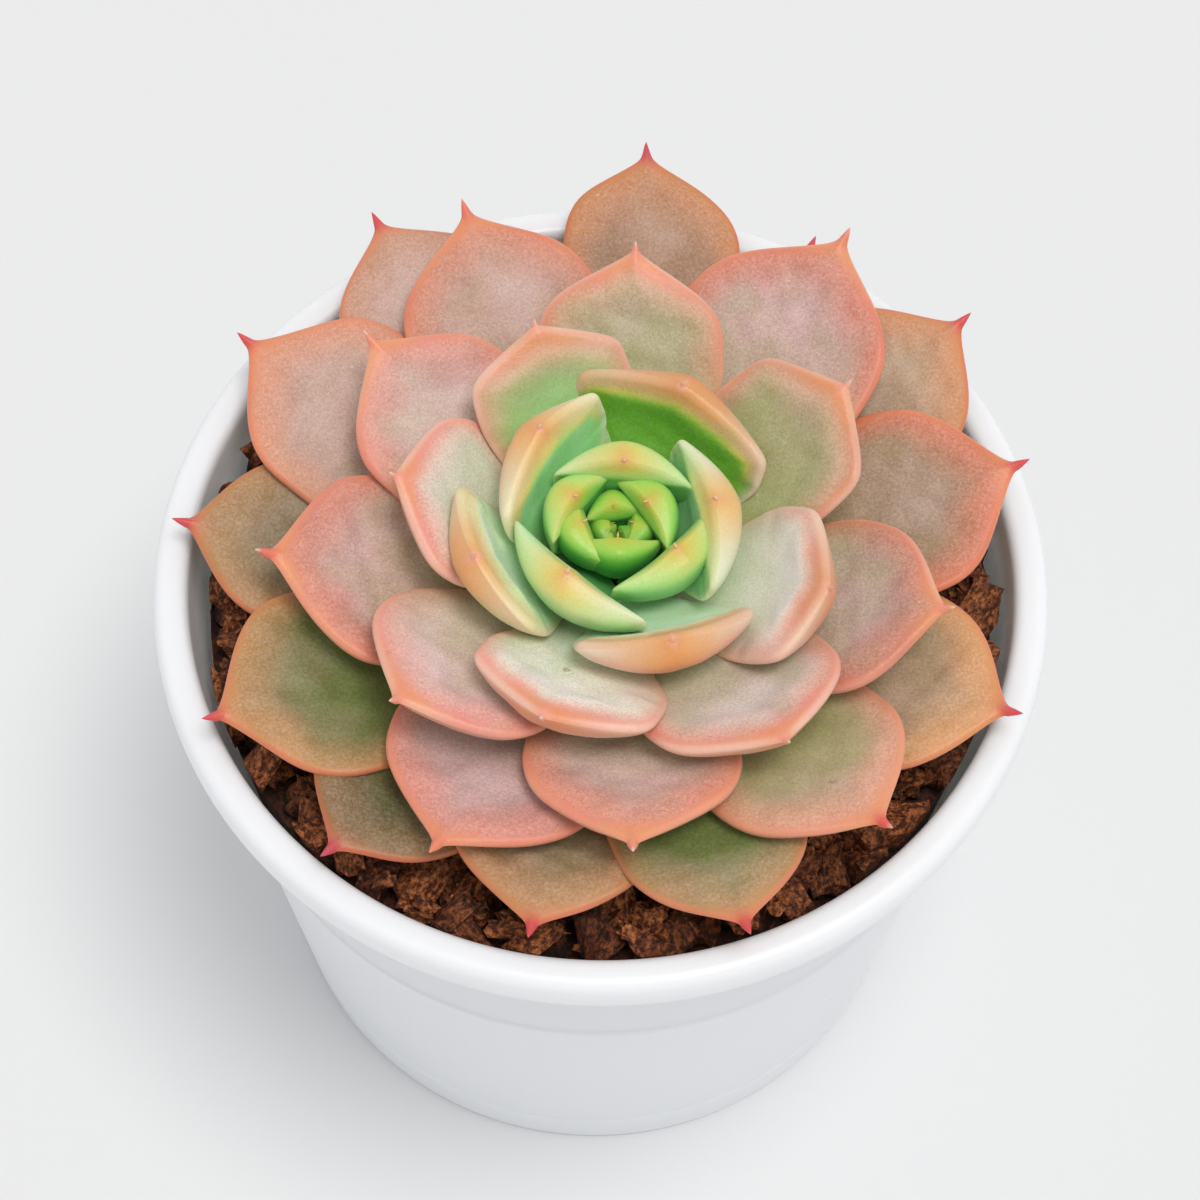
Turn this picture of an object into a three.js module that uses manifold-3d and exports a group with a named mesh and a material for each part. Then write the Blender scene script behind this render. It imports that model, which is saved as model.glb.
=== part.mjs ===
// A latte rose echeveria in a white nursery pot. Millimetres, +Z up, origin in the middle of the
// pot's base. The rosette is built leaf by leaf on the plant's own spiral.
import * as THREE from 'three';
import { mergeVertices } from 'three/addons/utils/BufferGeometryUtils.js';
import Module from 'manifold-3d';

const wasm = await Module();
wasm.setup();

// Driving dimensions of the pot
const POT_HEIGHT = 80;
const LIP_RADIUS = 52.5;
const LIP_DEPTH = 5.2;
const MOUTH_RADIUS = 48.3;
const BASE_RADIUS = 40.6;
const BODY_TOP_RADIUS = 48.8;
const WALL = 1;
const FLOOR = 2.4;
const FOOT_CHAMFER = 0.8;
const STEP_HEIGHT = 50.6;
const STEP_DEPTH = 0.35;
const FOOT_GROOVE_HEIGHT = 8.8;
const FOOT_GROOVE_DEPTH = 0.3;
const LINE_HALF_HEIGHT = 0.5;
const DRAIN_RADIUS = 3;
const DRAIN_CIRCLE = 25;
const DRAIN_COUNT = 6;
const POT_SIDES = 40;
const DRAIN_SIDES = 12;

// Driving dimensions of the planting mix
const MIX_TOP_AT_WALL = 74.2;
const MIX_TOP_AT_STEM = 70;
const MIX_SIDES = 30;
const CHIP_ROWS = [
  { radius: 36.4, spread: 360 },
  { radius: 42.2, spread: 30 },
];
const CHIP_SPACING = 9;
const CHIP_LENGTH = 7.6;
const CHIP_WIDTH = 5.2;
const CHIP_THICKNESS = 3.6;
const CHIP_RAGGEDNESS = 0.45;
const CHIP_TILT = { x: 20, y: 13 };
const MIX_SEED = 11;

// Driving dimensions of the plant
const ROSETTE_X = 1.7;
const ROSETTE_Y = -0.8;
const GOLDEN_ANGLE = 137.508;
const SPIRAL_START = 21.94;
const STEM_FOOT_RADIUS = 6.8;
const STEM_SIDES = 20;
// Radius and height of the stem from its foot to its top, where the heart sits
const STEM_PROFILE = [
  [0, 62],
  [STEM_FOOT_RADIUS, 62],
  [STEM_FOOT_RADIUS, 72],
  [6.2, 75],
  [4.9, 79],
  [3.3, 83],
  [1.2, 86],
  [0, 86.6],
];

// Where two pieces touch they keep about this gap, and leaves and the pot's wall a little more
const GAP = 0.35;
const LEAF_GAP = 0.43;
const WALL_GAP = GAP + 0.4;

// Laws of growth: pairs of age and value. Age 3 is the youngest open leaf, age 46 the oldest.
const TIP_HEIGHT = [
  [3, 91],
  [7, 94],
  [12, 97],
  [18, 96.5],
  [24, 95],
  [30, 91],
  [36, 86.5],
  [41, 84.6],
  [46, 84],
];
const ROOT_HEIGHT = [[3, 88], [10, 86], [20, 83], [30, 79], [46, 74.5]];
const ROOT_RADIUS = [[3, 0.6], [8, 2.2], [20, 5], [46, 7.5]];
const BOW = [[8, 0.24], [12, 0.2], [17, 0.16], [20, 0.08], [28, 0.07], [36, 0.04], [46, 0.02]];
const THICKNESS = [[3, 3.4], [6, 4], [11, 4.6], [14, 5], [20, 5], [30, 4.4], [46, 3.6]];
const CUP = [[3, 0.35], [10, 0.28], [13, 0.2], [16, 0.14], [20, 0.12], [30, 0.12], [46, 0.1]];
const SHOULDER = [[9, 0.16], [17, 0.22], [20, 0.4], [28, 0.5]];
const SHARPNESS = [[9, 1], [17, 1.05], [20, 1.3], [28, 1.7]];
const TIP_TAPER = [[9, 0.45], [14, 0.6], [17, 1], [20, 2.8], [28, 5.5]];
// A blunt tip has straight edges of this slope that meet the sides in a corner
const TIP_SLOPE = [[3, 6], [11, 5], [15, 3.6], [18, 2.4], [22, 1.9], [28, 1.5]];
const TIP_CORNER = 7;
// How far the tip is drawn out to a point, from 0, blunt, to 1
const DRAWN_OUT = [[20, 0], [28, 1]];
const MARGIN_SHARE = [[9, 0.12], [17, 0.2], [24, 0.45], [30, 0.6]];
const MARGIN_RADIUS = [[9, 0.5], [17, 0.7], [24, 1.1]];
const POINT_LENGTH = 0.4;
const ROOT_HALF_WIDTH = 2.6;
const ROOT_FATNESS = 0.5;
const WIDEST_AT = 0.62;
const FLARE = 1.35;
const SQUARENESS = 0.8;
const UPPER_SHARE = 0.4;
const LOWER_SHARE = 0.6;
// The share of its length over which a leaf takes up its cup and its sideways place
const SETTLED_AT = 0.5;

// Each leaf as it grew: its age, how far it leans off the spiral in degrees, its reach from the
// rosette's middle and its half width. Some stand to one side of their own direction, and some
// have a bent tip, a swayed middle or a curl inwards. Leaf 44 has been lost, and its place is open.
const LEAVES = [
  { age: 3, lean: 116, reach: 0.5, half: 3.2, side: -1.3 },
  { age: 4, lean: 138, reach: 1.4, half: 3.3, side: 1.3 },
  { age: 5, lean: 111, reach: 2.8, half: 3.3 },
  { age: 6, lean: 143, reach: 1.6, half: 5 },
  { age: 7, lean: -65, reach: 3.7, half: 4.8, side: -1 },
  { age: 8, lean: -7, reach: 3.8, half: 5.7 },
  { age: 9, lean: -34, reach: 5.4, half: 5.6, side: 0.9 },
  { age: 10, lean: -1, reach: 7.6, half: 8.2, side: 1.5 },
  { age: 11, lean: -9, reach: 6.5, half: 8 },
  { age: 12, lean: -2, reach: 10, half: 9.7, side: 1.2 },
  { age: 13, lean: 2, reach: 11, half: 10, side: -0.6 },
  { age: 14, lean: 2, reach: 13.3, half: 10, side: -2.4, bend: -2 },
  { age: 15, lean: 0, reach: 17.5, half: 10.3, side: 2 },
  { age: 16, lean: 0, reach: 18.2, half: 12.6, side: 1.7, curl: 0.09 },
  { age: 17, lean: 7, reach: 17.4, half: 10.3, side: -2.3, bend: 1 },
  { age: 18, lean: 11, reach: 25.4, half: 10.4, side: -1.6, bend: -2.7 },
  { age: 19, lean: -2, reach: 27, half: 9.6 },
  { age: 20, lean: -5, reach: 27.5, half: 11, side: 3 },
  { age: 21, lean: 5, reach: 32, half: 10.4 },
  { age: 22, lean: 13, reach: 26, half: 11, side: -4.3 },
  { age: 23, lean: -5, reach: 34, half: 12, side: 2.8 },
  { age: 24, lean: 6, reach: 37, half: 11.4 },
  { age: 25, lean: 7, reach: 34.3, half: 12.4, side: -1.3 },
  { age: 26, lean: -12, reach: 39, half: 11.8 },
  { age: 27, lean: 6, reach: 39, half: 11.6 },
  { age: 28, lean: -1, reach: 40.3, half: 12.5, side: 1.7 },
  { age: 29, lean: 8, reach: 50, half: 13.2 },
  { age: 30, lean: -2, reach: 41, half: 13 },
  { age: 31, lean: -14, reach: 47, half: 12 },
  { age: 32, lean: 11, reach: 50.3, half: 12.5 },
  { age: 33, lean: 4, reach: 44, half: 13.5 },
  { age: 34, lean: -2, reach: 49.2, half: 12.9 },
  { age: 35, lean: -6, reach: 53.3, half: 12.6 },
  { age: 36, lean: -4, reach: 49.4, half: 11 },
  { age: 37, lean: -7, reach: 50.2, half: 11.5 },
  { age: 38, lean: -1, reach: 51, half: 12.7 },
  { age: 39, lean: -7, reach: 49.6, half: 12.3 },
  { age: 40, lean: 1, reach: 56.3, half: 12 },
  { age: 41, lean: 0, reach: 48, half: 11.7 },
  { age: 42, lean: 3, reach: 54.6, half: 12 },
  { age: 43, lean: 1, reach: 51.6, half: 11 },
  { age: 45, lean: -2, reach: 59.4, half: 11, sway: -2 },
  { age: 46, lean: 3, reach: 49.5, half: 11 },
];

// The unopened leaves in the heart of the rosette, grown together at their feet
const HEART = [
  { age: 0, lean: 0, reach: 0.5, half: 1.1 },
  { age: 1, lean: 0, reach: 0.8, half: 1.3 },
  { age: 2, lean: 0, reach: 1.1, half: 1.5 },
];

// How finely a leaf is faceted, and the thicker form that it presses into older leaves
const LEAF_FORM = { rings: 8, ringPoints: 10, grow: 0 };
const PRESS_FORM = { rings: 8, ringPoints: 10, grow: LEAF_GAP };

const POT_WHITE = { color: 0xf1f3f9, roughness: 0.35, metalness: 0 };
const MIX_BROWN = { color: 0x5a3020, roughness: 0.95, metalness: 0 };
const STEM_TAN = { color: 0x8a6f55, roughness: 0.8, metalness: 0 };
const YOUNG_GREEN = new THREE.Color(0x86c44e);
const MIDDLE_PINK = new THREE.Color(0xc3a39a);
const OLD_TAN = new THREE.Color(0xb08a72);
const PINK_AGES = { from: 12, over: 10 };
const TAN_AGES = { from: 26, over: 16 };
const LEAF_ROUGHNESS = 0.6;

const degrees = (angle) => (angle * Math.PI) / 180;
const clamp01 = (value) => Math.min(1, Math.max(0, value));

// The value of a law at an age, straight between its pairs and level outside them
function law(pairs, age) {
  if (age <= pairs[0][0]) return pairs[0][1];
  for (let i = 1; i < pairs.length; i++) {
    const [age0, value0] = pairs[i - 1];
    const [age1, value1] = pairs[i];
    if (age <= age1) return value0 + ((value1 - value0) * (age - age0)) / (age1 - age0);
  }
  return pairs[pairs.length - 1][1];
}

// A repeatable stream of random numbers from 0 to 1
function randomStream(seed) {
  let state = seed;
  return () => {
    state = (state * 1664525 + 1013904223) % 4294967296;
    return state / 4294967296;
  };
}

function toSolid(geometry) {
  const bare = geometry.clone();
  bare.deleteAttribute('normal');
  bare.deleteAttribute('uv');
  const merged = mergeVertices(bare, 1e-4);
  const vertProperties = new Float32Array(merged.attributes.position.array);
  const triVerts = new Uint32Array(merged.index.array);
  return new wasm.Manifold(new wasm.Mesh({ numProp: 3, vertProperties, triVerts }));
}

function toGeometry(solid) {
  const mesh = solid.getMesh();
  const geometry = new THREE.BufferGeometry();
  geometry.setAttribute('position', new THREE.BufferAttribute(mesh.vertProperties, 3));
  geometry.setIndex(new THREE.BufferAttribute(mesh.triVerts, 1));
  geometry.computeVertexNormals();
  return geometry;
}

// The largest body of a solid, without the scraps that a cut leaves
function largestBody(solid) {
  const bodies = solid.decompose();
  return bodies.reduce((best, body) => (body.volume() > best.volume() ? body : best));
}

function turned(profile, sides) {
  const points = profile.map(([radius, height]) => new THREE.Vector2(radius, height));
  const geometry = new THREE.LatheGeometry(points, sides);
  geometry.rotateX(Math.PI / 2);
  return geometry;
}

// The outer radius of the pot's cone at a height
const lipUnderside = POT_HEIGHT - LIP_DEPTH;
const coneSlope = (BODY_TOP_RADIUS - BASE_RADIUS) / lipUnderside;
const coneRadius = (height) => BASE_RADIUS + coneSlope * height;

// The pot: a thin cone with a step line, a foot groove and a thick round lip, one moulded piece
function potGeometry() {
  const lipMiddle = (LIP_RADIUS + MOUTH_RADIUS) / 2;
  const grooveLow = FOOT_GROOVE_HEIGHT - LINE_HALF_HEIGHT;
  const grooveHigh = FOOT_GROOVE_HEIGHT + LINE_HALF_HEIGHT;
  const profile = [
    [0, 0],
    [BASE_RADIUS - FOOT_CHAMFER, 0],
    [BASE_RADIUS, FOOT_CHAMFER],
    [coneRadius(grooveLow), grooveLow],
    [coneRadius(FOOT_GROOVE_HEIGHT) - FOOT_GROOVE_DEPTH, FOOT_GROOVE_HEIGHT],
    [coneRadius(grooveHigh), grooveHigh],
    [coneRadius(STEP_HEIGHT), STEP_HEIGHT],
    [coneRadius(STEP_HEIGHT) - STEP_DEPTH, STEP_HEIGHT + LINE_HALF_HEIGHT],
    [BODY_TOP_RADIUS - STEP_DEPTH, lipUnderside],
    [LIP_RADIUS - 0.7, lipUnderside],
    [LIP_RADIUS, lipUnderside + 1],
    [LIP_RADIUS, lipUnderside + 2.6],
    [LIP_RADIUS - 0.8, POT_HEIGHT - 1],
    [lipMiddle, POT_HEIGHT],
    [MOUTH_RADIUS + 0.5, POT_HEIGHT - 0.6],
    [MOUTH_RADIUS, POT_HEIGHT - 1.8],
    [BODY_TOP_RADIUS - STEP_DEPTH - WALL, lipUnderside - 2],
    [coneRadius(FLOOR) - WALL - 0.2, FLOOR],
    [0, FLOOR],
  ];
  let solid = toSolid(turned(profile, POT_SIDES));
  for (let i = 0; i < DRAIN_COUNT; i++) {
    const angle = (2 * Math.PI * i) / DRAIN_COUNT;
    const hole = new THREE.CylinderGeometry(DRAIN_RADIUS, DRAIN_RADIUS, 3 * FLOOR, DRAIN_SIDES);
    hole.rotateX(Math.PI / 2);
    hole.translate(DRAIN_CIRCLE * Math.cos(angle), DRAIN_CIRCLE * Math.sin(angle), FLOOR / 2);
    solid = solid.subtract(toSolid(hole));
  }
  return toGeometry(solid);
}

// The inside of the pot's wall less the gap, at a height
const roomRadius = (height) => coneRadius(height) - STEP_DEPTH - WALL - WALL_GAP;

// One angular husk chip
function chipSolid(random, { radius, angle, height, yaw }) {
  const chip = mergeVertices(bareBox(1, 1, 1));
  const corners = chip.attributes.position;
  const jitter = () => 1 + CHIP_RAGGEDNESS * (random() - 0.5);
  for (let i = 0; i < corners.count; i++) {
    corners.setXYZ(
      i,
      corners.getX(i) * CHIP_LENGTH * jitter(),
      corners.getY(i) * CHIP_WIDTH * jitter(),
      corners.getZ(i) * CHIP_THICKNESS * jitter(),
    );
  }
  chip.rotateX(degrees(2 * CHIP_TILT.x * (random() - 0.5)));
  chip.rotateY(degrees(2 * CHIP_TILT.y * (random() - 0.5)));
  chip.rotateZ(yaw);
  chip.translate(radius * Math.cos(angle), radius * Math.sin(angle), height);
  return toSolid(chip);
}

function bareBox(x, y, z) {
  const box = new THREE.BoxGeometry(x, y, z);
  box.deleteAttribute('normal');
  box.deleteAttribute('uv');
  return box;
}

// The height of the mix between its chips, at a radius
function mixHeight(radius) {
  const slope = (MIX_TOP_AT_WALL - MIX_TOP_AT_STEM) / (roomRadius(MIX_TOP_AT_WALL) - STEM_FOOT_RADIUS);
  return MIX_TOP_AT_STEM + slope * (radius - STEM_FOOT_RADIUS);
}

// The planting mix fills the pot, with a plain hole for the stem's foot and husk chips fused on
// its open ring
function mixGeometry() {
  const random = randomStream(MIX_SEED);
  const bottom = FLOOR + GAP;
  const profile = [
    [0, bottom],
    [roomRadius(bottom) - GAP, bottom],
    [roomRadius(MIX_TOP_AT_WALL), MIX_TOP_AT_WALL],
    [STEM_FOOT_RADIUS, MIX_TOP_AT_STEM],
    [0, MIX_TOP_AT_STEM],
  ];
  let solid = toSolid(turned(profile, MIX_SIDES));
  for (const row of CHIP_ROWS) {
    const count = Math.round((2 * Math.PI * row.radius) / CHIP_SPACING);
    for (let i = 0; i < count; i++) {
      const angle = (2 * Math.PI * (i + 0.5 * random())) / count;
      const radius = row.radius + 1.2 * (random() - 0.5);
      const height = mixHeight(radius) + 0.9 * (random() - 0.4);
      const yaw = angle + Math.PI / 2 + degrees(row.spread) * (random() - 0.5);
      solid = solid.add(chipSolid(random, { radius, angle, height, yaw }));
    }
  }
  const holeRadius = STEM_FOOT_RADIUS + GAP;
  const holeBottom = STEM_PROFILE[0][1] - GAP;
  const holeDepth = 2 * (MIX_TOP_AT_STEM - holeBottom);
  const hole = new THREE.CylinderGeometry(holeRadius, holeRadius, holeDepth, STEM_SIDES);
  hole.rotateX(Math.PI / 2);
  hole.translate(ROSETTE_X, ROSETTE_Y, holeBottom + holeDepth / 2);
  return largestBody(solid.subtract(toSolid(hole)));
}

// The short woody stem that carries every leaf, its foot in the mix. The leaves' roots stand
// round it, just clear of it.
function stemSolid() {
  return toSolid(turned(STEM_PROFILE, STEM_SIDES)).translate([ROSETTE_X, ROSETTE_Y, 0]);
}

// The middle line of a leaf: a round arc in its own upright plane, from its root on the stem to
// its tip, turned up by its bow
function leafArc(leaf) {
  const rootRadius = law(ROOT_RADIUS, leaf.age);
  const rootHeight = law(ROOT_HEIGHT, leaf.age);
  const run = leaf.reach - rootRadius;
  const climb = law(TIP_HEIGHT, leaf.age) - rootHeight;
  const halfTurn = 2 * Math.atan(2 * (law(BOW, leaf.age) + (leaf.curl ?? 0)));
  const radius = Math.hypot(run, climb) / (2 * Math.sin(halfTurn));
  const first = Math.atan2(climb, run) - halfTurn;
  const at = (share) => {
    const angle = first + 2 * halfTurn * share;
    const out = rootRadius + radius * (Math.sin(angle) - Math.sin(first));
    const up = rootHeight - radius * (Math.cos(angle) - Math.cos(first));
    return { out, up, angle };
  };
  return { length: 2 * halfTurn * radius, at };
}

// Half the width at a share of the length: a narrow root, full shoulders, and a tip that is blunt
// on a young leaf and drawn out to a point on an old one
function halfWidth(leaf, share, toTip) {
  const root = Math.min(ROOT_HALF_WIDTH, leaf.half / 2);
  const rise = Math.sin((Math.PI / 2) * clamp01(share / WIDEST_AT)) ** FLARE;
  const straight = (toTip * law(TIP_SLOPE, leaf.age)) / leaf.half;
  const blunt = straight / (1 + straight ** TIP_CORNER) ** (1 / TIP_CORNER);
  const shoulder = law(SHOULDER, leaf.age) * leaf.half;
  const drawn = 1 - Math.exp(-((toTip / shoulder) ** law(SHARPNESS, leaf.age)));
  const closing = blunt + (drawn - blunt) * law(DRAWN_OUT, leaf.age);
  return (root + (leaf.half - root) * rise) * closing;
}

// How far a place on the leaf lies to the side of its straight middle line
function sideways(leaf, share) {
  const shift = (leaf.side ?? 0) * Math.sin((Math.PI / 2) * clamp01(share / SETTLED_AT));
  const bend = (leaf.bend ?? 0) * share ** 4;
  const sway = (leaf.sway ?? 0) * Math.sin(Math.PI * share);
  return shift + bend + sway;
}

// One fleshy leaf: rings of points round its middle line, a cupped lens in section with a round
// margin, closed at the root and drawn to a point at the tip. Grow makes it thicker all over.
function leafSolid(leaf, { rings, ringPoints, grow }) {
  const arc = leafArc(leaf);
  const direction = degrees(SPIRAL_START + leaf.age * GOLDEN_ANGLE + leaf.lean);
  const positions = [];
  const place = (out, across, up) => {
    const x = ROSETTE_X + out * Math.cos(direction) - across * Math.sin(direction);
    const y = ROSETTE_Y + out * Math.sin(direction) + across * Math.cos(direction);
    positions.push(x, y, up);
  };
  const marginShare = law(MARGIN_SHARE, leaf.age);
  const rootShare = -grow / arc.length;
  for (let ring = 0; ring < rings; ring++) {
    const share = ring === 0 ? rootShare : 1 - (1 - ring / rings) ** 2;
    const toTip = (1 - share) * arc.length;
    const { out, up, angle } = arc.at(share);
    const width = halfWidth(leaf, share, toTip);
    const fatness = ROOT_FATNESS + (1 - ROOT_FATNESS) * clamp01(share / WIDEST_AT);
    const closing = 1 - Math.exp(-toTip / law(TIP_TAPER, leaf.age));
    const thickness = law(THICKNESS, leaf.age) * fatness * closing;
    const marginRadius = Math.min(law(MARGIN_RADIUS, leaf.age), width);
    const cupDepth = law(CUP, leaf.age) * clamp01(share / SETTLED_AT);
    for (let point = 0; point < ringPoints; point++) {
      const turn = (2 * Math.PI * point) / ringPoints;
      const ratio = Math.sign(Math.cos(turn)) * Math.abs(Math.cos(turn)) ** SQUARENESS;
      const fromMargin = clamp01((width * (1 - Math.abs(ratio))) / marginRadius);
      const rounding = Math.sqrt(1 - (1 - fromMargin) ** 2);
      const lens = marginShare + (1 - marginShare) * (1 - ratio ** 2);
      const onMargin = point % (ringPoints / 2) === 0;
      const above = Math.sin(turn) > 0;
      const face = thickness * lens * rounding * (above ? UPPER_SHARE : LOWER_SHARE) + grow;
      const cup = (cupDepth * (width * ratio) ** 2) / leaf.half;
      const lift = cup + (onMargin ? 0 : above ? face : -face);
      const across = (width + grow) * ratio + sideways(leaf, share);
      place(out - lift * Math.sin(angle), across, up + lift * Math.cos(angle));
    }
  }
  const rootCentre = positions.length / 3;
  const root = arc.at(rootShare);
  place(root.out, 0, root.up);
  const tip = arc.at(1);
  const point = POINT_LENGTH + grow;
  place(tip.out + point * Math.cos(tip.angle), sideways(leaf, 1), tip.up + point * Math.sin(tip.angle));
  const index = [];
  for (let i = 0; i < ringPoints; i++) {
    const next = (i + 1) % ringPoints;
    index.push(rootCentre, next, i);
    for (let ring = 0; ring < rings - 1; ring++) {
      const here = ring * ringPoints;
      const beyond = here + ringPoints;
      index.push(here + i, here + next, beyond + next);
      index.push(here + i, beyond + next, beyond + i);
    }
    const last = (rings - 1) * ringPoints;
    index.push(last + i, last + next, rootCentre + 1);
  }
  const geometry = new THREE.BufferGeometry();
  geometry.setAttribute('position', new THREE.Float32BufferAttribute(positions, 3));
  geometry.setIndex(index);
  return toSolid(geometry);
}

// Green when young, then pink, then tan
function leafLook(age) {
  const colour = YOUNG_GREEN.clone();
  colour.lerp(MIDDLE_PINK, clamp01((age - PINK_AGES.from) / PINK_AGES.over));
  colour.lerp(OLD_TAN, clamp01((age - TAN_AGES.from) / TAN_AGES.over));
  return { color: colour, roughness: LEAF_ROUGHNESS, metalness: 0 };
}

function addPiece(group, name, geometry, look) {
  const mesh = new THREE.Mesh(geometry, new THREE.MeshStandardMaterial(look));
  mesh.name = name;
  group.add(mesh);
}

// The rosette from its heart outwards. Each leaf stops short of every younger leaf on it.
function addRosette(group) {
  const heart = wasm.Manifold.union(HEART.map((leaf) => leafSolid(leaf, LEAF_FORM)));
  addPiece(group, 'heart', toGeometry(largestBody(heart)), leafLook(0));
  const younger = HEART.map((leaf) => leafSolid(leaf, PRESS_FORM));
  for (const leaf of LEAVES) {
    let solid = leafSolid(leaf, LEAF_FORM);
    for (const neighbour of younger) solid = solid.subtract(neighbour);
    younger.push(leafSolid(leaf, PRESS_FORM));
    const name = `leaf_${String(leaf.age).padStart(2, '0')}`;
    addPiece(group, name, toGeometry(largestBody(solid)), leafLook(leaf.age));
  }
}

const plant = new THREE.Group();
addPiece(plant, 'pot', potGeometry(), POT_WHITE);
addPiece(plant, 'planting_mix', toGeometry(mixGeometry()), MIX_BROWN);
addPiece(plant, 'stem', toGeometry(stemSolid()), STEM_TAN);
addRosette(plant);

export default plant;
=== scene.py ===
"""A latte rose echeveria in a white nursery pot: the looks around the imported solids."""

import math
from dataclasses import dataclass
from itertools import product
from types import SimpleNamespace

import bpy
import numpy as np
from mathutils import Matrix, Vector


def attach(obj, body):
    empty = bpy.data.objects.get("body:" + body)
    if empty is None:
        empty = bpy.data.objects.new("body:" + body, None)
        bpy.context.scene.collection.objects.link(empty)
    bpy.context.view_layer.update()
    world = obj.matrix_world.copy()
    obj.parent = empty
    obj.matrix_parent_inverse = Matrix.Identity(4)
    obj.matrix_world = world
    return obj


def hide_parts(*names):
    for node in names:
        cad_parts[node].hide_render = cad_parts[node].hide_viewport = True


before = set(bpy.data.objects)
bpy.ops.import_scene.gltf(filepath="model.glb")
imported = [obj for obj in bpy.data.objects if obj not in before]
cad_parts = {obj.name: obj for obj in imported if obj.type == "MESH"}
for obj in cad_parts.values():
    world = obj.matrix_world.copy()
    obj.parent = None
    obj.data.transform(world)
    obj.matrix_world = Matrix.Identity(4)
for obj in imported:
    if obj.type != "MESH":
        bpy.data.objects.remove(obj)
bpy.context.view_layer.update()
MM = 0.001

# The plant's own numbers, in mm and degrees; a law of growth has a value for each of some ages
ROSETTE = (1.7, -0.8)
GOLDEN_ANGLE = 137.508
SPIRAL_START = 21.94
TIP_HEIGHT = {3: 91, 7: 94, 12: 97, 18: 96.5, 24: 95, 30: 91, 36: 86.5, 41: 84.6, 46: 84}
ROOT_HEIGHT = {3: 88, 10: 86, 20: 83, 30: 79, 46: 74.5}
ROOT_RADIUS = {3: 0.6, 8: 2.2, 20: 5, 46: 7.5}
BOW = {8: 0.24, 12: 0.2, 17: 0.16, 20: 0.08, 28: 0.07, 36: 0.04, 46: 0.02}
THICKNESS = {3: 3.4, 6: 4, 11: 4.6, 14: 5, 20: 5, 30: 4.4, 46: 3.6}
CUP = {3: 0.35, 10: 0.28, 13: 0.2, 16: 0.14, 20: 0.12, 30: 0.12, 46: 0.1}
TIP_SLOPE = {3: 6, 11: 5, 15: 3.6, 18: 2.4, 22: 1.9, 28: 1.5}
TIP_CORNER = 7
DRAWN_OUT = {20: 0, 28: 1}
SHOULDER = {9: 0.16, 17: 0.22, 20: 0.4, 28: 0.5}
SHARPNESS = {9: 1, 17: 1.05, 20: 1.3, 28: 1.7}
TIP_TAPER = {9: 0.45, 14: 0.6, 17: 1, 20: 2.8, 28: 5.5}
MARGIN_SHARE = {9: 0.12, 17: 0.2, 24: 0.45, 30: 0.6}
POINT_LENGTH = 0.4
ROOT_HALF_WIDTH = 2.6
ROOT_FATNESS = 0.5
WIDEST_AT = 0.62
UPPER_SHARE = 0.4
LOWER_SHARE = 0.6


@dataclass
class Leaf:
    """One leaf: its lean out of the spiral, its form, and from green on the weights of its colours."""

    lean: float
    reach: float
    half: float
    side: float = 0
    bend: float = 0
    sway: float = 0
    curl: float = 0
    green: float = 0
    warm: float = 0
    rim: float = 1
    powder: float = 1
    faceted: float = 1


LEAVES = {
    3: Leaf(116, 0.5, 3.2, side=-1.3),
    4: Leaf(138, 1.4, 3.3, side=1.3),
    5: Leaf(111, 2.8, 3.3),
    6: Leaf(143, 1.6, 5),
    7: Leaf(-65, 3.7, 4.8, side=-1),
    8: Leaf(-7, 3.8, 5.7),
    9: Leaf(-34, 5.4, 5.6, side=0.9),
    10: Leaf(-1, 7.6, 8.2, side=1.5),
    11: Leaf(-9, 6.5, 8),
    12: Leaf(-2, 10, 9.7, side=1.2),
    13: Leaf(2, 11, 10, side=-0.6),
    14: Leaf(2, 13.3, 10, side=-2.4, bend=-2),
    15: Leaf(0, 17.5, 10.3, side=2),
    16: Leaf(0, 18.2, 12.6, side=1.7, curl=0.09, powder=0),
    17: Leaf(7, 17.4, 10.3, side=-2.3, bend=1),
    18: Leaf(11, 25.4, 10.4, side=-1.6, bend=-2.7),
    19: Leaf(-2, 27, 9.6, green=1, powder=0.1, faceted=0.3),
    20: Leaf(-5, 27.5, 11, side=3),
    21: Leaf(5, 32, 10.4, green=0.4, warm=0.2, powder=0.1, faceted=0.6),
    22: Leaf(13, 26, 11, side=-4.3, green=0.25, powder=0.7),
    23: Leaf(-5, 34, 12, side=2.8, green=0.1, warm=0.25),
    24: Leaf(6, 37, 11.4, green=0.45, warm=0.15, powder=0.3),
    25: Leaf(7, 34.3, 12.4, side=-1.3),
    26: Leaf(-12, 39, 11.8, warm=0.2),
    27: Leaf(6, 39, 11.6),
    28: Leaf(-1, 40.3, 12.5, side=1.7, warm=0.15),
    29: Leaf(8, 50, 13.2),
    30: Leaf(-2, 41, 13, warm=0.1),
    31: Leaf(-14, 47, 12, green=0.8, rim=0.8),
    32: Leaf(11, 50.3, 12.5),
    33: Leaf(4, 44, 13.5, warm=0.1),
    34: Leaf(-2, 49.2, 12.9, green=0.2, warm=0.1),
    35: Leaf(-6, 53.3, 12.6, green=0.1),
    36: Leaf(-4, 49.4, 11, green=1.5, rim=0.45),
    37: Leaf(-7, 50.2, 11.5, warm=0.4),
    38: Leaf(-1, 51, 12.7, green=1.1, warm=0.2, rim=0.6),
    39: Leaf(-7, 49.6, 12.3, green=0.45, rim=0.6),
    40: Leaf(1, 56.3, 12),
    41: Leaf(0, 48, 11.7, green=0.6, warm=0.2, rim=0.5),
    42: Leaf(3, 54.6, 12, green=0.3, rim=0.7),
    43: Leaf(1, 51.6, 11, green=0.5, rim=0.8),
    45: Leaf(-2, 59.4, 11, sway=-2, warm=0.2, rim=0.7),
    46: Leaf(3, 49.5, 11, green=1, rim=0.5),
}
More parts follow.
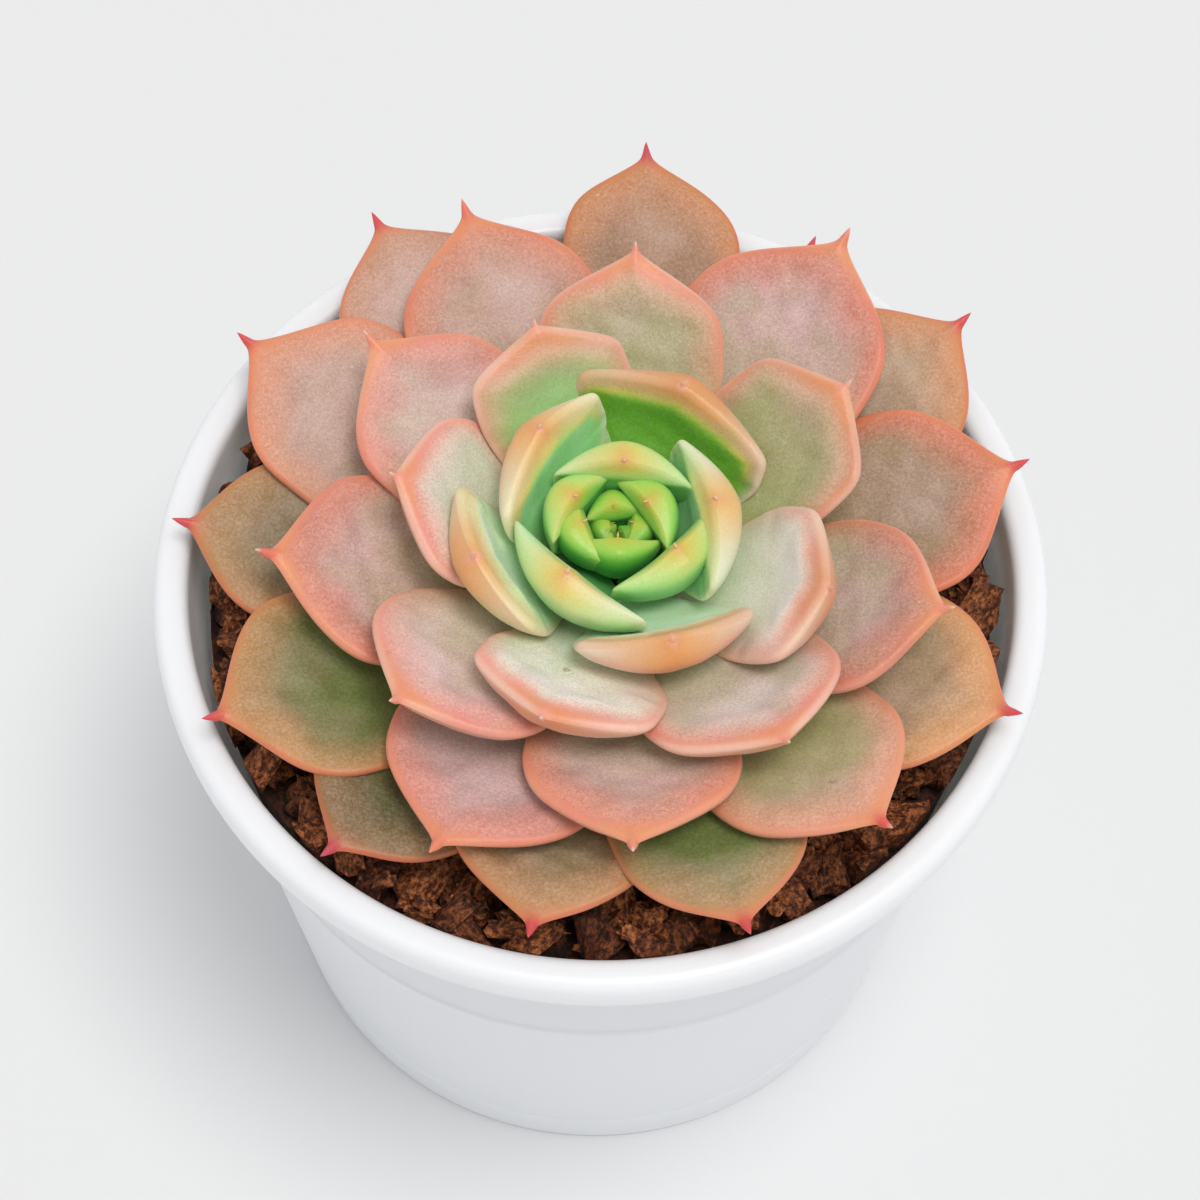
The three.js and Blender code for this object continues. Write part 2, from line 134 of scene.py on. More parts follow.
HEART = {
    0: Leaf(0, 0.5, 1.1),
    1: Leaf(0, 0.8, 1.3),
    2: Leaf(0, 1.1, 1.5),
}

# Finer form
RINGS, AROUND, CORNER_RINGS = 66, 88, 2.5
FINE_STEPS, DISTANCE_BATCH, OUTLINE_LEAST, TINY = 3000, 2000, 1e-3, 1e-6
WIDTH_RISE, SETTLED_AT, SLANT, SLANT_LIMIT = 1.35, 0.5, 0.6, 0.4
POINT_HOOK, POINT_FOOT, POINT_BLUNTNESS = 0.2, 1.4, 0.8
UPPER_TAPER, HOLLOW_WIDTH = 2.2, 6
FACET_AT_SIDE, FACET_MORE_AT_TIP, FACET_FADE = 0.7, 0.5, 4
POINT_INSET = {9: 0.25, 28: 0.7}
POINT_REACH = {3: 0.3, 9: 0.5, 14: 0.6, 17: 1, 28: 1.8}
POINT_RADIUS = {3: 0.07, 5: 0.12, 9: 0.2, 17: 0.36, 28: 0.58}
BEVEL_SLOPE = {3: 0.9, 12: 0.7, 15: 0.38, 22: 0.36, 28: 0.5}
BEVEL_SOFTNESS = {3: 0.2, 14: 0.22, 22: 0.28, 30: 0.8}
UPPER_MARGIN = {12: 0.12, 15: 0.6, 20: 0.8, 28: 0.65}
HOLLOW = {12: 0.1, 15: 0.6, 18: 0.75, 23: 0.7, 28: 0.4, 36: 0.15}
FACET = {9: 1.2, 14: 2.3, 18: 2.8, 23: 2.6, 30: 1.4}
EDGE_ROUND = {3: 0.3, 12: 0.5, 15: 0.7, 20: 0.65, 28: 0.55, 46: 0.45}
UNDER_ROUND = {3: 0.9, 12: 1.8, 28: 2.2}
RIPPLE = {3: 0.02, 16: 0.035, 20: 0.1, 28: 0.16, 46: 0.22}
WAVINESS = {10: 0, 20: 0.1, 30: 0.22, 46: 0.35}


def law(values, age):
    """The value of a law of growth at an age; a value may be a number or a colour."""
    ages = list(values)
    if age <= ages[0]:
        return values[ages[0]]
    for before, after in zip(ages, ages[1:]):
        if age <= after:
            rise = values[after] - values[before]
            return values[before] + rise * (age - before) / (after - before)
    return values[ages[-1]]


def srgb(text):
    """The linear colour of a hex triplet."""
    values = np.array([int(text[i : i + 2], 16) / 255 for i in (0, 2, 4)])
    return np.where(values <= 0.04045, values / 12.92, ((values + 0.055) / 1.055) ** 2.4)


def colour_law(colours, age):
    return law({own_age: srgb(text) for own_age, text in colours.items()}, age)


def fade(value, start, full):
    """0 up to start and 1 from full on, with a smooth step between; full may be the smaller one."""
    share = np.clip((value - start) / (full - start), 0, 1)
    return share * share * (3 - 2 * share)


def varied(field, middle, swing):
    """A share from 0 to 1 that swings about its middle with a random field."""
    return np.clip(middle + swing * field, 0, 1)


def blend(a, b, share):
    """Colour arrays a and b mixed by share, one value a point."""
    return a + (b - a) * np.asarray(share)[..., None]


def smooth_min(a, b, softness):
    share = np.clip(0.5 + 0.5 * (b - a) / softness, 0, 1)
    return b + (a - b) * share - softness * share * (1 - share)


def waves(rng, shortest, longest, count=9):
    """A smooth random field on the plane, about -1 to 1, from sines of seeded directions."""
    length = shortest * (longest / shortest) ** rng.random(count)
    turn, phase = rng.random(count) * 2 * math.pi, rng.random(count) * 2 * math.pi
    kx, ky = np.cos(turn) * 2 * math.pi / length, np.sin(turn) * 2 * math.pi / length

    def field(x, y):
        total = sum(np.sin(kx[i] * x + ky[i] * y + phase[i]) for i in range(count))
        return total / math.sqrt(count)

    return field


# Meshes
def add_attribute(mesh, name, kind, values):
    """A point attribute of numbers, vectors or colours; a colour gets an alpha of 1."""
    values = np.asarray(values, np.float32)
    if kind == "FLOAT_COLOR":
        values = np.column_stack([values, np.ones(len(values), np.float32)])
    field = {"FLOAT": "value", "FLOAT_VECTOR": "vector", "FLOAT_COLOR": "color"}[kind]
    mesh.attributes.new(name, kind, "POINT").data.foreach_set(field, values.ravel())


def make_piece(name, points, faces, material, attributes=(), sharp=None):
    """A smooth mesh object of points in mm; edges that turn more than sharp degrees stay hard."""
    mesh = bpy.data.meshes.new(name)
    mesh.from_pydata((np.asarray(points) * MM).tolist(), [], faces)
    for attribute in attributes:
        add_attribute(mesh, *attribute)
    mesh.polygons.foreach_set("use_smooth", [True] * len(mesh.polygons))
    if sharp is not None:
        mesh.set_sharp_from_angle(angle=math.radians(sharp))
    mesh.materials.append(material)
    mesh.validate()
    piece = bpy.data.objects.new(name, mesh)
    bpy.context.scene.collection.objects.link(piece)
    return piece


def own(piece, node):
    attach(piece, "root")
    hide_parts(node)


def tube_faces(rings, around):
    """The faces between the rings of a tube."""
    return [
        (row + i, row + (i + 1) % around, row + around + (i + 1) % around, row + around + i)
        for row in range(0, (rings - 1) * around, around) for i in range(around)
    ]


def lathe(profile, sides):
    """Points and faces of a closed profile of radius and height, turned about the Z axis."""
    turn = np.arange(sides) * 2 * math.pi / sides
    points, rows = [], []
    for radius, height in profile:
        if radius < TINY:
            rows.append([len(points)] * sides)
            points.append((0, 0, height))
        else:
            rows.append(list(range(len(points), len(points) + sides)))
            points += [(radius * math.cos(angle), radius * math.sin(angle), height) for angle in turn]
    faces = []
    for row, beyond in zip(rows, rows[1:]):
        for i in range(sides):
            j = (i + 1) % sides
            face = [row[i], row[j], beyond[j], beyond[i]]
            face = [corner for k, corner in enumerate(face) if corner != face[k - 1]]
            if len(face) > 2:
                faces.append(face)
    return np.array(points, float), faces


def rounded(profile):
    """A profile of radius, height and fillet, with its corners rounded by their fillets."""
    line = []
    for i, (radius, height, fillet) in enumerate(profile):
        here = np.array([radius, height], float)
        if fillet == 0 or i in (0, len(profile) - 1):
            line.append((radius, height))
            continue
        before = np.array(profile[i - 1][:2], float) - here
        after = np.array(profile[i + 1][:2], float) - here
        reach = min(fillet, np.hypot(*before) * FILLET_LIMIT, np.hypot(*after) * FILLET_LIMIT)
        start = here + before / np.hypot(*before) * reach
        end = here + after / np.hypot(*after) * reach
        for step in range(FILLET_STEPS + 1):
            share = step / FILLET_STEPS
            bend = (1 - share) ** 2 * start + 2 * share * (1 - share) * here + share * share * end
            line.append(tuple(bend))
    return line


# Materials
class Nodes:
    """A node material, built from short calls."""

    def __init__(self, name):
        self.material = bpy.data.materials.new(name)
        self.material.use_nodes = True
        self.tree = self.material.node_tree
        self.tree.nodes.clear()
        out = self.tree.nodes.new("ShaderNodeOutputMaterial")
        self.shader = self.tree.nodes.new("ShaderNodeBsdfPrincipled")
        self.tree.links.new(self.shader.outputs[0], out.inputs["Surface"])

    def put(self, socket, value):
        if isinstance(value, bpy.types.NodeSocket):
            self.tree.links.new(value, socket)
            return
        if hasattr(socket.default_value, "__len__") and len(socket.default_value) == 4:
            value = (*value[:3], 1.0)
        socket.default_value = value

    def node(self, kind, inputs=(), output=0, **settings):
        made = self.tree.nodes.new("ShaderNode" + kind)
        for key, value in settings.items():
            setattr(made, key, value)
        for key, value in dict(inputs).items():
            self.put(made.inputs[key], value)
        return made.outputs[output]

    def where(self):
        return self.node("TexCoord", output="Object")

    def stretched(self, z):
        return self.node("Mapping", {"Vector": self.where(), "Scale": (1, 1, z)})

    def noise(self, scale, detail=2.0, roughness=0.5, distortion=0.0, vector=None):
        inputs = {"Vector": vector or self.where(), "Scale": scale, "Detail": detail}
        inputs.update({"Roughness": roughness, "Distortion": distortion})
        return self.node("TexNoise", inputs, "Fac")

    def cells(self, scale, output):
        return self.node("TexVoronoi", {"Vector": self.where(), "Scale": scale}, output)

    def math(self, operation, a, b):
        return self.node("Math", {0: a, 1: b}, operation=operation)

    def times(self, a, b):
        return self.math("MULTIPLY", a, b)

    def plus(self, a, b):
        return self.math("ADD", a, b)

    def remap(self, value, span, to=(0.0, 1.0), smooth=True):
        inputs = {"Value": value, "From Min": span[0], "From Max": span[1]}
        inputs.update({"To Min": to[0], "To Max": to[1]})
        kind = "SMOOTHSTEP" if smooth else "LINEAR"
        return self.node("MapRange", inputs, interpolation_type=kind, clamp=True)

    def mix(self, a, b, share, kind="MIX"):
        made = self.tree.nodes.new("ShaderNodeMix")
        made.data_type, made.blend_type = "RGBA", kind
        for key, value in ((0, share), (6, a), (7, b)):
            self.put(made.inputs[key], value)
        return made.outputs[2]

    def attribute(self, name, output="Fac"):
        return self.node("Attribute", output=output, attribute_name=name)

    def dots(self, scale, span, above, channel=0, ragged=None):
        """Small dots with a rim of this span, in the cells whose random value is above a limit."""
        pick = self.node("SeparateColor", {0: self.cells(scale, "Color")}, channel)
        distance = self.cells(scale, "Distance")
        if ragged is not None:
            distance = self.plus(distance, ragged)
        return self.times(self.remap(distance, span, (1, 0)), self.math("GREATER_THAN", pick, above))

    def bump(self, height, distance, strength=1.0):
        return self.node("Bump", {"Height": height, "Distance": distance, "Strength": strength})

    def finish(self, **sockets):
        for key, value in sockets.items():
            self.put(self.shader.inputs[key.replace("_", " ")], value)
        return self.material


# Colours of the materials are linear, and their noise scales count cells a metre
DOT_RIM = (0.04, 0.11)
LEAF_WARM, LEAF_POWDER = (0.30, 0.13, 0.07), (0.90, 0.76, 0.72)
LEAF_SPECK, LEAF_SCAR = (0.86, 0.80, 0.74), (0.16, 0.07, 0.04)
LEAF_SKINS = {
    "leaf_young": dict(oldest=17, subsurface=0.16, reach=(0.6, 1.0, 0.25), roughness=0.42),
    "leaf_middle": dict(oldest=27, subsurface=0.14, reach=(1.0, 0.75, 0.45), roughness=0.46),
    "leaf_old": dict(oldest=46, subsurface=0.1, reach=(1.0, 0.65, 0.4), roughness=0.5),
}
POT_WHITES = (0.94, 0.965, 1.0), (0.92, 0.945, 0.99)
POT_DUST_COLOUR, POT_SOIL_COLOUR = (0.45, 0.38, 0.33), (0.20, 0.10, 0.06)
HUSK_DARKS = (0.022, 0.006, 0.003), (0.13, 0.032, 0.011)
HUSK_BRIGHTS = (0.26, 0.07, 0.022), (1.0, 0.35, 0.12)
# The near-black second colour below is painted shade for the hollows of the mix
HUSK_TORN_COLOUR, HUSK_SHADE_COLOUR = (1.0, 0.52, 0.25), (0.012, 0.005, 0.004)
STEM_BROWNS, STEM_DRY = ((0.12, 0.075, 0.04), (0.40, 0.29, 0.18)), (0.50, 0.42, 0.30)
FLOOR_GREYS = (0.80, 0.80, 0.80), (0.815, 0.815, 0.815)


def leaf_material(name, skin):
    """Waxy leaf skin: the leaf's own tint under a powdery bloom, with grain, specks and scars."""
    nodes = Nodes(name)
    bloom = nodes.attribute("bloom")
    grain, cloud = nodes.noise(3600, 3, 0.7), nodes.noise(2600, 3, 0.65)
    warm = nodes.times(bloom, nodes.remap(nodes.noise(140), (0.5, 0.75), (0, 0.2)))
    colour = nodes.mix(nodes.attribute("tint", "Color"), LEAF_WARM, warm)
    frost = nodes.times(bloom, nodes.remap(cloud, (0.34, 0.7), (0.02, 0.22)))
    colour = nodes.mix(colour, LEAF_POWDER, frost)
    light = nodes.math("SUBTRACT", nodes.remap(grain, (0.3, 0.7), (0.8, 1.2), smooth=False), 1.0)
    light = nodes.plus(1.0, nodes.times(light, nodes.remap(bloom, (0, 1), (0.25, 1.0))))
    grey = nodes.node("CombineColor", {0: light, 1: light, 2: light})
    colour = nodes.mix(colour, grey, 1.0, "MULTIPLY")
    specks = nodes.times(nodes.dots(560, DOT_RIM, 0.93), nodes.times(bloom, 0.55))
    colour = nodes.mix(colour, LEAF_SPECK, specks)
    ragged = nodes.remap(grain, (0, 1), (-0.06, 0.06))
    scars = nodes.dots(170, DOT_RIM, 0.9, channel=1, ragged=ragged)
    scars = nodes.times(scars, nodes.times(bloom, 0.6))
    colour = nodes.mix(colour, LEAF_SCAR, scars)
    height = nodes.plus(nodes.times(grain, 0.5), nodes.times(cloud, 0.9))
    height = nodes.plus(height, nodes.times(nodes.noise(900), 0.5))
    height = nodes.math("SUBTRACT", height, nodes.times(scars, 1.2))
    matt = nodes.plus(nodes.times(grain, 0.4), nodes.times(cloud, 0.6))
    matt = nodes.remap(matt, (0.3, 0.7), (-0.06, 0.08))
    rough = nodes.plus(matt, nodes.remap(bloom, (0.1, 0.8), (0.33, skin["roughness"])))
    return nodes.finish(
        Base_Color=colour, Roughness=rough, Normal=nodes.bump(height, 0.00007, 0.8),
        Subsurface_Weight=skin["subsurface"], Subsurface_Radius=skin["reach"], Subsurface_Scale=0.0014,
        Specular_IOR_Level=0.42, Sheen_Weight=0.08, Sheen_Roughness=0.5,
    )


def plastic_material():
    """White moulded plastic with a satin skin, faint flow marks, a little dust and soil."""
    nodes = Nodes("pot_plastic")
    flow = nodes.noise(9, 2, 0.5, 0.6, nodes.stretched(2.5))
    colour = nodes.mix(*POT_WHITES, nodes.remap(flow, (0.3, 0.7)))
    dust = nodes.dots(130, (0.015, 0.05), 0.93)
    colour = nodes.mix(colour, POT_DUST_COLOUR, nodes.times(dust, 0.35))
    soil = nodes.times(nodes.attribute("soil"), nodes.remap(nodes.noise(500, 4, 0.65), (0.42, 0.7)))
    colour = nodes.mix(colour, POT_SOIL_COLOUR, soil)
    scuff = nodes.noise(60, 4, 0.7, 1.5, nodes.stretched(6))
    height = nodes.times(nodes.noise(2400, 2, 0.6), 0.35)
    height = nodes.plus(height, nodes.times(nodes.noise(160), 0.9))
    return nodes.finish(
        Base_Color=colour, Roughness=nodes.remap(scuff, (0.35, 0.75), (0.31, 0.36)),
        Normal=nodes.bump(height, 0.00005, 0.6), Specular_IOR_Level=0.5,
        Subsurface_Weight=0.5, Subsurface_Radius=(1.0, 0.97, 0.85), Subsurface_Scale=0.003,
    )


def husk_material():
    """Coconut husk and bark chips: fibres along each chip, painted shade in the hollows, lighter torn
    edges.
    """
    nodes = Nodes("husk_chips")
    hue = nodes.attribute("hue")
    fibre = nodes.noise(1.0, 4, 0.7, 0.4, nodes.attribute("along_chip", "Vector"))
    cloud = nodes.noise(1500, 3, 0.65)
    share = nodes.remap(fibre, (0.32, 0.72), (0.0, 0.75))
    share = nodes.plus(share, nodes.remap(cloud, (0.35, 0.7), (-0.35, 0.4)))
    colour = nodes.mix(nodes.mix(*HUSK_DARKS, hue), nodes.mix(*HUSK_BRIGHTS, hue), share)
    torn = nodes.remap(nodes.noise(260), (0.45, 0.6))
    torn = nodes.times(nodes.remap(fibre, (0.62, 0.74)), torn)
    colour = nodes.mix(colour, HUSK_TORN_COLOUR, nodes.times(torn, 0.6))
    # Painted shade: the bed and the parts of chips below the top of the mix go near black, as shade in
    # the gaps
    colour = nodes.mix(colour, HUSK_SHADE_COLOUR, nodes.attribute("deep"))
    height = nodes.plus(fibre, nodes.times(cloud, 0.5))
    return nodes.finish(
        Base_Color=colour, Roughness=nodes.remap(cloud, (0.3, 0.7), (0.62, 0.9)),
        Normal=nodes.bump(height, 0.0005), Specular_IOR_Level=0.35,
    )


def stem_material():
    """Dry woody stem with rings of old leaf scars."""
    nodes = Nodes("stem_bark")
    rings, cloud = nodes.noise(220, 3, 0.6, 0.5, nodes.stretched(5)), nodes.noise(500, 3)
    colour = nodes.mix(*STEM_BROWNS, nodes.remap(rings, (0.3, 0.7)))
    colour = nodes.mix(colour, STEM_DRY, nodes.remap(cloud, (0.5, 0.8), (0, 0.5)))
    height = nodes.bump(nodes.plus(rings, nodes.times(cloud, 0.4)), 0.0004)
    return nodes.finish(Base_Color=colour, Roughness=0.8, Normal=height, Specular_IOR_Level=0.3)


def floor_material():
    nodes = Nodes("studio_floor")
    colour = nodes.mix(*FLOOR_GREYS, nodes.noise(3))
    return nodes.finish(Base_Color=colour, Roughness=0.85, Specular_IOR_Level=0.1)


# Colours of the leaves: hex triplets, and how strong or wide each coloured zone is
FACE = {
    0: "50b428", 3: "6cd438", 6: "a2ee58", 9: "88e062", 11: "94e27c", 12: "b0eeac",
    13: "a4e69e", 14: "90de86", 15: "ecffe0", 16: "6cb41e", 17: "deffd4", 18: "e6dcd0",
    19: "80b86e", 20: "f4f2e4", 21: "ac9c6c", 22: "e4dcd2", 23: "d0bcb4", 24: "bca688",
    25: "e0b4b4", 26: "b48c80", 27: "dcb4b0", 28: "dcaeac", 29: "c89890", 30: "d0a098",
    31: "d8b8a0", 32: "c49c88", 33: "d0aaaa", 34: "ae8c6c", 35: "cca696", 36: "b0a07c",
    38: "96864e", 39: "cca684", 40: "d0b0a4", 41: "ac8c68", 42: "ccac8c", 43: "907452",
    # 46's dark olive is partly its own colour and partly painted shade, for the shade that leaf lies in
    # at the pot's left
    45: "aa805e", 46: "584a24",
}
WARM = "a4684a"
PALE = {8: "b0f470", 14: "d0f8c8", 18: "faf2ee", 24: "eed2d6", 34: "dcbebc", 46: "ccac8e"}
PALE_AMOUNT = {14: 0.45, 17: 0.6, 23: 0.55, 28: 0.42}
PALE_STARTS = {22: 0, 27: 2}
PALE_IS_FULL = {22: 0.1, 27: 8}
DRY, DRY_AMOUNT = "8c6a48", {18: 0, 24: 0.2, 30: 0.3}
MINT, MINT_AMOUNT = "d0dab4", {17: 0, 19: 0.35, 28: 0.35, 32: 0}
FROST, FROST_AMOUNT = "fbf4f0", {13: 0, 15: 0.4, 20: 0.6, 23: 0.5, 27: 0}
BASE_GREEN = {
    3: "3ca428", 12: "62cc54", 15: "ccfcbc", 16: "60aa18", 17: "bcf6ac", 18: "a8d488",
    22: "9cc06c", 30: "94a04c", 36: "687a34", 46: "545e18",
}
BASE_GREEN_AMOUNT = {14: 0.6, 15: 0.4, 17: 0.3, 24: 0.4, 30: 0.6}
EDGE = {
    18: "f0bca8", 19: "e49880", 20: "f0ac98", 22: "ec9c88", 24: "d89464", 25: "e89c88",
    26: "cc7858", 27: "e08870", 28: "e48a6a", 29: "d87656", 30: "dc7e64", 31: "e89678",
    32: "d87e5c", 33: "e08670", 34: "e07450", 35: "e08c64", 36: "b88850", 38: "cc8c4c",
    39: "e09c58", 40: "c88c68", 41: "c48c54", 42: "d68c54", 43: "b88850", 45: "d08850",
    46: "906c3c",
}
EDGE_AMOUNT = {17: 0, 19: 0.8, 20: 0.4, 22: 0.6, 28: 0.85, 46: 0.9}
EDGE_DEPTH, EDGE_DEEPER_AT_TIP = 4, {18: 1, 19: 5, 20: 1, 26: 4.5, 46: 5}
UNDER = {
    0: "50b428", 3: "70dc40", 6: "88e458", 8: "8ce466", 10: "b0f294", 12: "cef8aa",
    13: "e6f4d4", 14: "eaeecc", 15: "f0d4c4", 16: "e2d0b4", 17: "dce4ac", 18: "dccab4",
    22: "d2b298", 30: "b68e74", 46: "94784c",
}
BLUSH = "e69088"
BLUSH_AMOUNT = {12: 0, 14: 0.3, 15: 0.75, 16: 0.5, 17: 0.15, 19: 0.7, 24: 0}
EMBER, EMBER_AMOUNT = "e07e4a", {12: 0, 14: 0.5, 15: 0.85, 17: 0.5, 20: 0}
# Painted shade: a deep green laid on the young heart leaves towards the root and beside the margins of
# their undersides
PAINTED_SHADE, PAINTED_SHADE_AMOUNT = "1e8a26", {3: 0.9, 9: 0.75, 12: 0.4, 14: 0}
RIM = {
    0: "78b838", 3: "a4e060", 8: "c4e880", 11: "dcecac", 13: "eeeed0", 15: "f0d8c0",
    17: "f0a88c", 19: "f0947a", 22: "f28268", 28: "f28a6e", 36: "f08a66", 46: "dc7c50",
}
RIM_TIP = {
    8: "d2d264", 12: "e6c070", 15: "e29a60", 18: "e08e5a", 22: "ee9a66", 30: "f29e6e",
    46: "e28a5c",
}
RIM_WIDTH = {3: 0.2, 9: 0.35, 15: 0.7, 20: 0.85, 30: 0.75, 46: 0.6}
RIM_AMOUNT = {0: 0.3, 3: 0.7, 8: 0.8, 15: 0.85, 20: 1, 24: 0.8, 30: 0.7, 46: 0.5}
PEACH, PEACH_AMOUNT = "f2a470", {16: 0, 20: 0.8}
FACET_TINT = {
    13: "e8d488", 14: "e8cc90", 15: "dc9474", 16: "e0ae84", 17: "e6d498", 18: "e8907c",
    19: "dc9480", 20: "f09888", 21: "d8946c", 22: "f09488", 23: "ec8c7c",
}
FACET_AMOUNT = {12: 0, 14: 1, 23: 1, 27: 0}
FACET_REACH = {14: 30, 16: 18, 18: 9, 23: 7}
# Painted highlight: a lighter yellow to cream line along the facet's ridge, where light catches it
RIDGE_HIGHLIGHT = {
    13: "f0dc70", 14: "f0cc58", 15: "e8b050", 16: "e8d458", 17: "f0c86c", 18: "f0b080",
    20: "f8dccc", 23: "f6d0b8",
}
RIDGE_HIGHLIGHT_AMOUNT, RIDGE_HIGHLIGHT_WIDTH = {14: 0.8, 17: 0.6, 20: 0.35, 23: 0.2}, 0.26
GLOW = {
    0: "9cc030", 3: "b4c830", 6: "c6cc3c", 8: "d0c83e", 10: "e0cc50", 12: "ecc858",
    14: "f0a650", 16: "e49c4c", 17: "f0a452", 18: "e48c50", 22: "ee9c60", 28: "f0a268",
    46: "e08c5c",
}
GLOW_AMOUNT = {0: 0.2, 3: 0.45, 8: 0.55, 12: 0.75, 16: 0.9, 22: 0.7, 30: 0.6, 46: 0.4}
GLOW_DEPTH = {3: 0.8, 9: 1.3, 13: 2, 17: 1.9, 24: 1.7, 46: 1.5}
GLOW_SPREAD = {3: 0.35, 9: 0.35, 13: 0.45, 14: 0.7, 17: 0.7, 22: 0.4, 46: 0.3}
LIP = {
    14: "f0f2cc", 16: "f6e4d6", 17: "ecf2d0", 19: "f8dccc", 23: "f8dfcc", 29: "f2a88c",
    36: "e88264", 46: "d8664c",
}
LIP_WIDTH = {12: 0.35, 14: 0.9, 17: 0.9, 20: 0.4, 46: 0.35}
LIP_AMOUNT = {10: 0, 14: 0.65, 23: 0.5, 28: 0.4, 36: 0.6, 46: 0.7}
LIP_GIVES_WAY = {13: 0, 14: 0.7, 17: 0.7, 19: 0}
HALO = {
    3: "c09838", 8: "de9a4c", 12: "ea9058", 16: "e67e50", 24: "f08a5c", 34: "e07058",
    46: "d0584c",
}
HALO_REACH = {3: 0.6, 9: 1.1, 16: 1.5, 30: 2.4, 46: 2.6}
HALO_AMOUNT = {3: 0.5, 9: 0.8, 17: 0.7, 28: 0.55, 36: 0.8, 46: 0.9}
POINT = {
    0: "88a434", 3: "d4b450", 6: "f8b878", 9: "ffbe98", 14: "ffc4a8", 24: "f09a84",
    28: "f0987c", 31: "e85c54", 33: "f09070", 34: "e04c50", 43: "d84c54", 46: "d04c60",
}
POINT_AMOUNT = 0.95
CREAM, CREAM_AMOUNT = "f6e2d4", {18: 0, 20: 0.7, 30: 0.7, 33: 0}
BLOOM = {3: 0, 11: 0.04, 14: 0.2, 17: 0.5, 22: 0.9, 30: 1, 46: 0.85}

# Random fields on a leaf: shortest and longest wave in mm, and how many waves
MARGIN_WAVES, LIFT_WAVES, RIPPLE_WAVES = (7, 16), (10, 22), (2.5, 12, 14)
PATCHES, STREAKS, EDGE_TONES = (5, 18, 12), (1.2, 4, 14), (6, 22, 8)
MARGIN_WOBBLE = 0.012
MARGINS_APART, FACES_APART, EDGES_APART, PATCHES_APART = 20, 50, 30, 31


def leaf_arc(age, leaf):
    """The length of a leaf's spine, and a function for its place and angle at a length along it."""
    root_radius, root_height = law(ROOT_RADIUS, age), law(ROOT_HEIGHT, age)
    run, climb = leaf.reach - root_radius, law(TIP_HEIGHT, age) - root_height
    half_turn = 2 * math.atan(2 * (law(BOW, age) + leaf.curl))
    radius = math.hypot(run, climb) / (2 * math.sin(half_turn))
    first = math.atan2(climb, run) - half_turn
    length = 2 * half_turn * radius

    def at(along):
        angle = first + 2 * half_turn * np.minimum(along / length, 1)
        beyond = np.maximum(along - length, 0)
        out = root_radius + radius * (np.sin(angle) - math.sin(first)) + beyond * np.cos(angle)
        up = root_height - radius * (np.cos(angle) - math.cos(first)) + beyond * np.sin(angle)
        return out, up, angle

    return length, at


def half_width(age, half, share, to_tip):
    """Half the blade's width, from the narrow root over the widest place to the tip."""
    root = min(ROOT_HALF_WIDTH, half / 2)
    rise = np.sin(math.pi / 2 * np.clip(share / WIDEST_AT, 0, 1)) ** WIDTH_RISE
    straight = to_tip * law(TIP_SLOPE, age) / half
    blunt = straight / (1 + straight**TIP_CORNER) ** (1 / TIP_CORNER)
    drawn = 1 - np.exp(-((to_tip / (law(SHOULDER, age) * half)) ** law(SHARPNESS, age)))
    closing = blunt + (drawn - blunt) * law(DRAWN_OUT, age)
    return (root + (half - root) * rise) * closing


def outline_distance(along, across, line):
    """How far each point of the blade is from its outline, seen flat."""
    points = np.stack([along.ravel(), np.abs(across).ravel()], 1)
    start, step = line[:-1], np.diff(line, axis=0)
    nearest = np.empty(len(points))
    for i in range(0, len(points), DISTANCE_BATCH):
        offset = points[i : i + DISTANCE_BATCH, None, :] - start
        t = np.clip((offset * step).sum(2) / np.maximum((step**2).sum(1), TINY**2), 0, 1)
        nearest[i : i + DISTANCE_BATCH] = np.sqrt(((offset - t[..., None] * step) ** 2).sum(2)).min(1)
    return nearest.reshape(along.shape)


def ring_places(along, wide):
    """RINGS places along a leaf, spread evenly over its outline and closer where that turns."""
    step, rise = np.diff(along), np.diff(wide)
    turn = np.abs(np.diff(np.arctan2(rise, step), prepend=np.arctan2(rise[0], step[0])))
    weight = np.hypot(step, rise) + CORNER_RINGS * turn
    travelled = np.concatenate([[0], np.cumsum(weight)])
    return np.interp(np.linspace(0, travelled[-1], RINGS + 1)[:-1], travelled, along)


def cube_root_norm(a, b):
    return np.cbrt(a**3 + b**3)


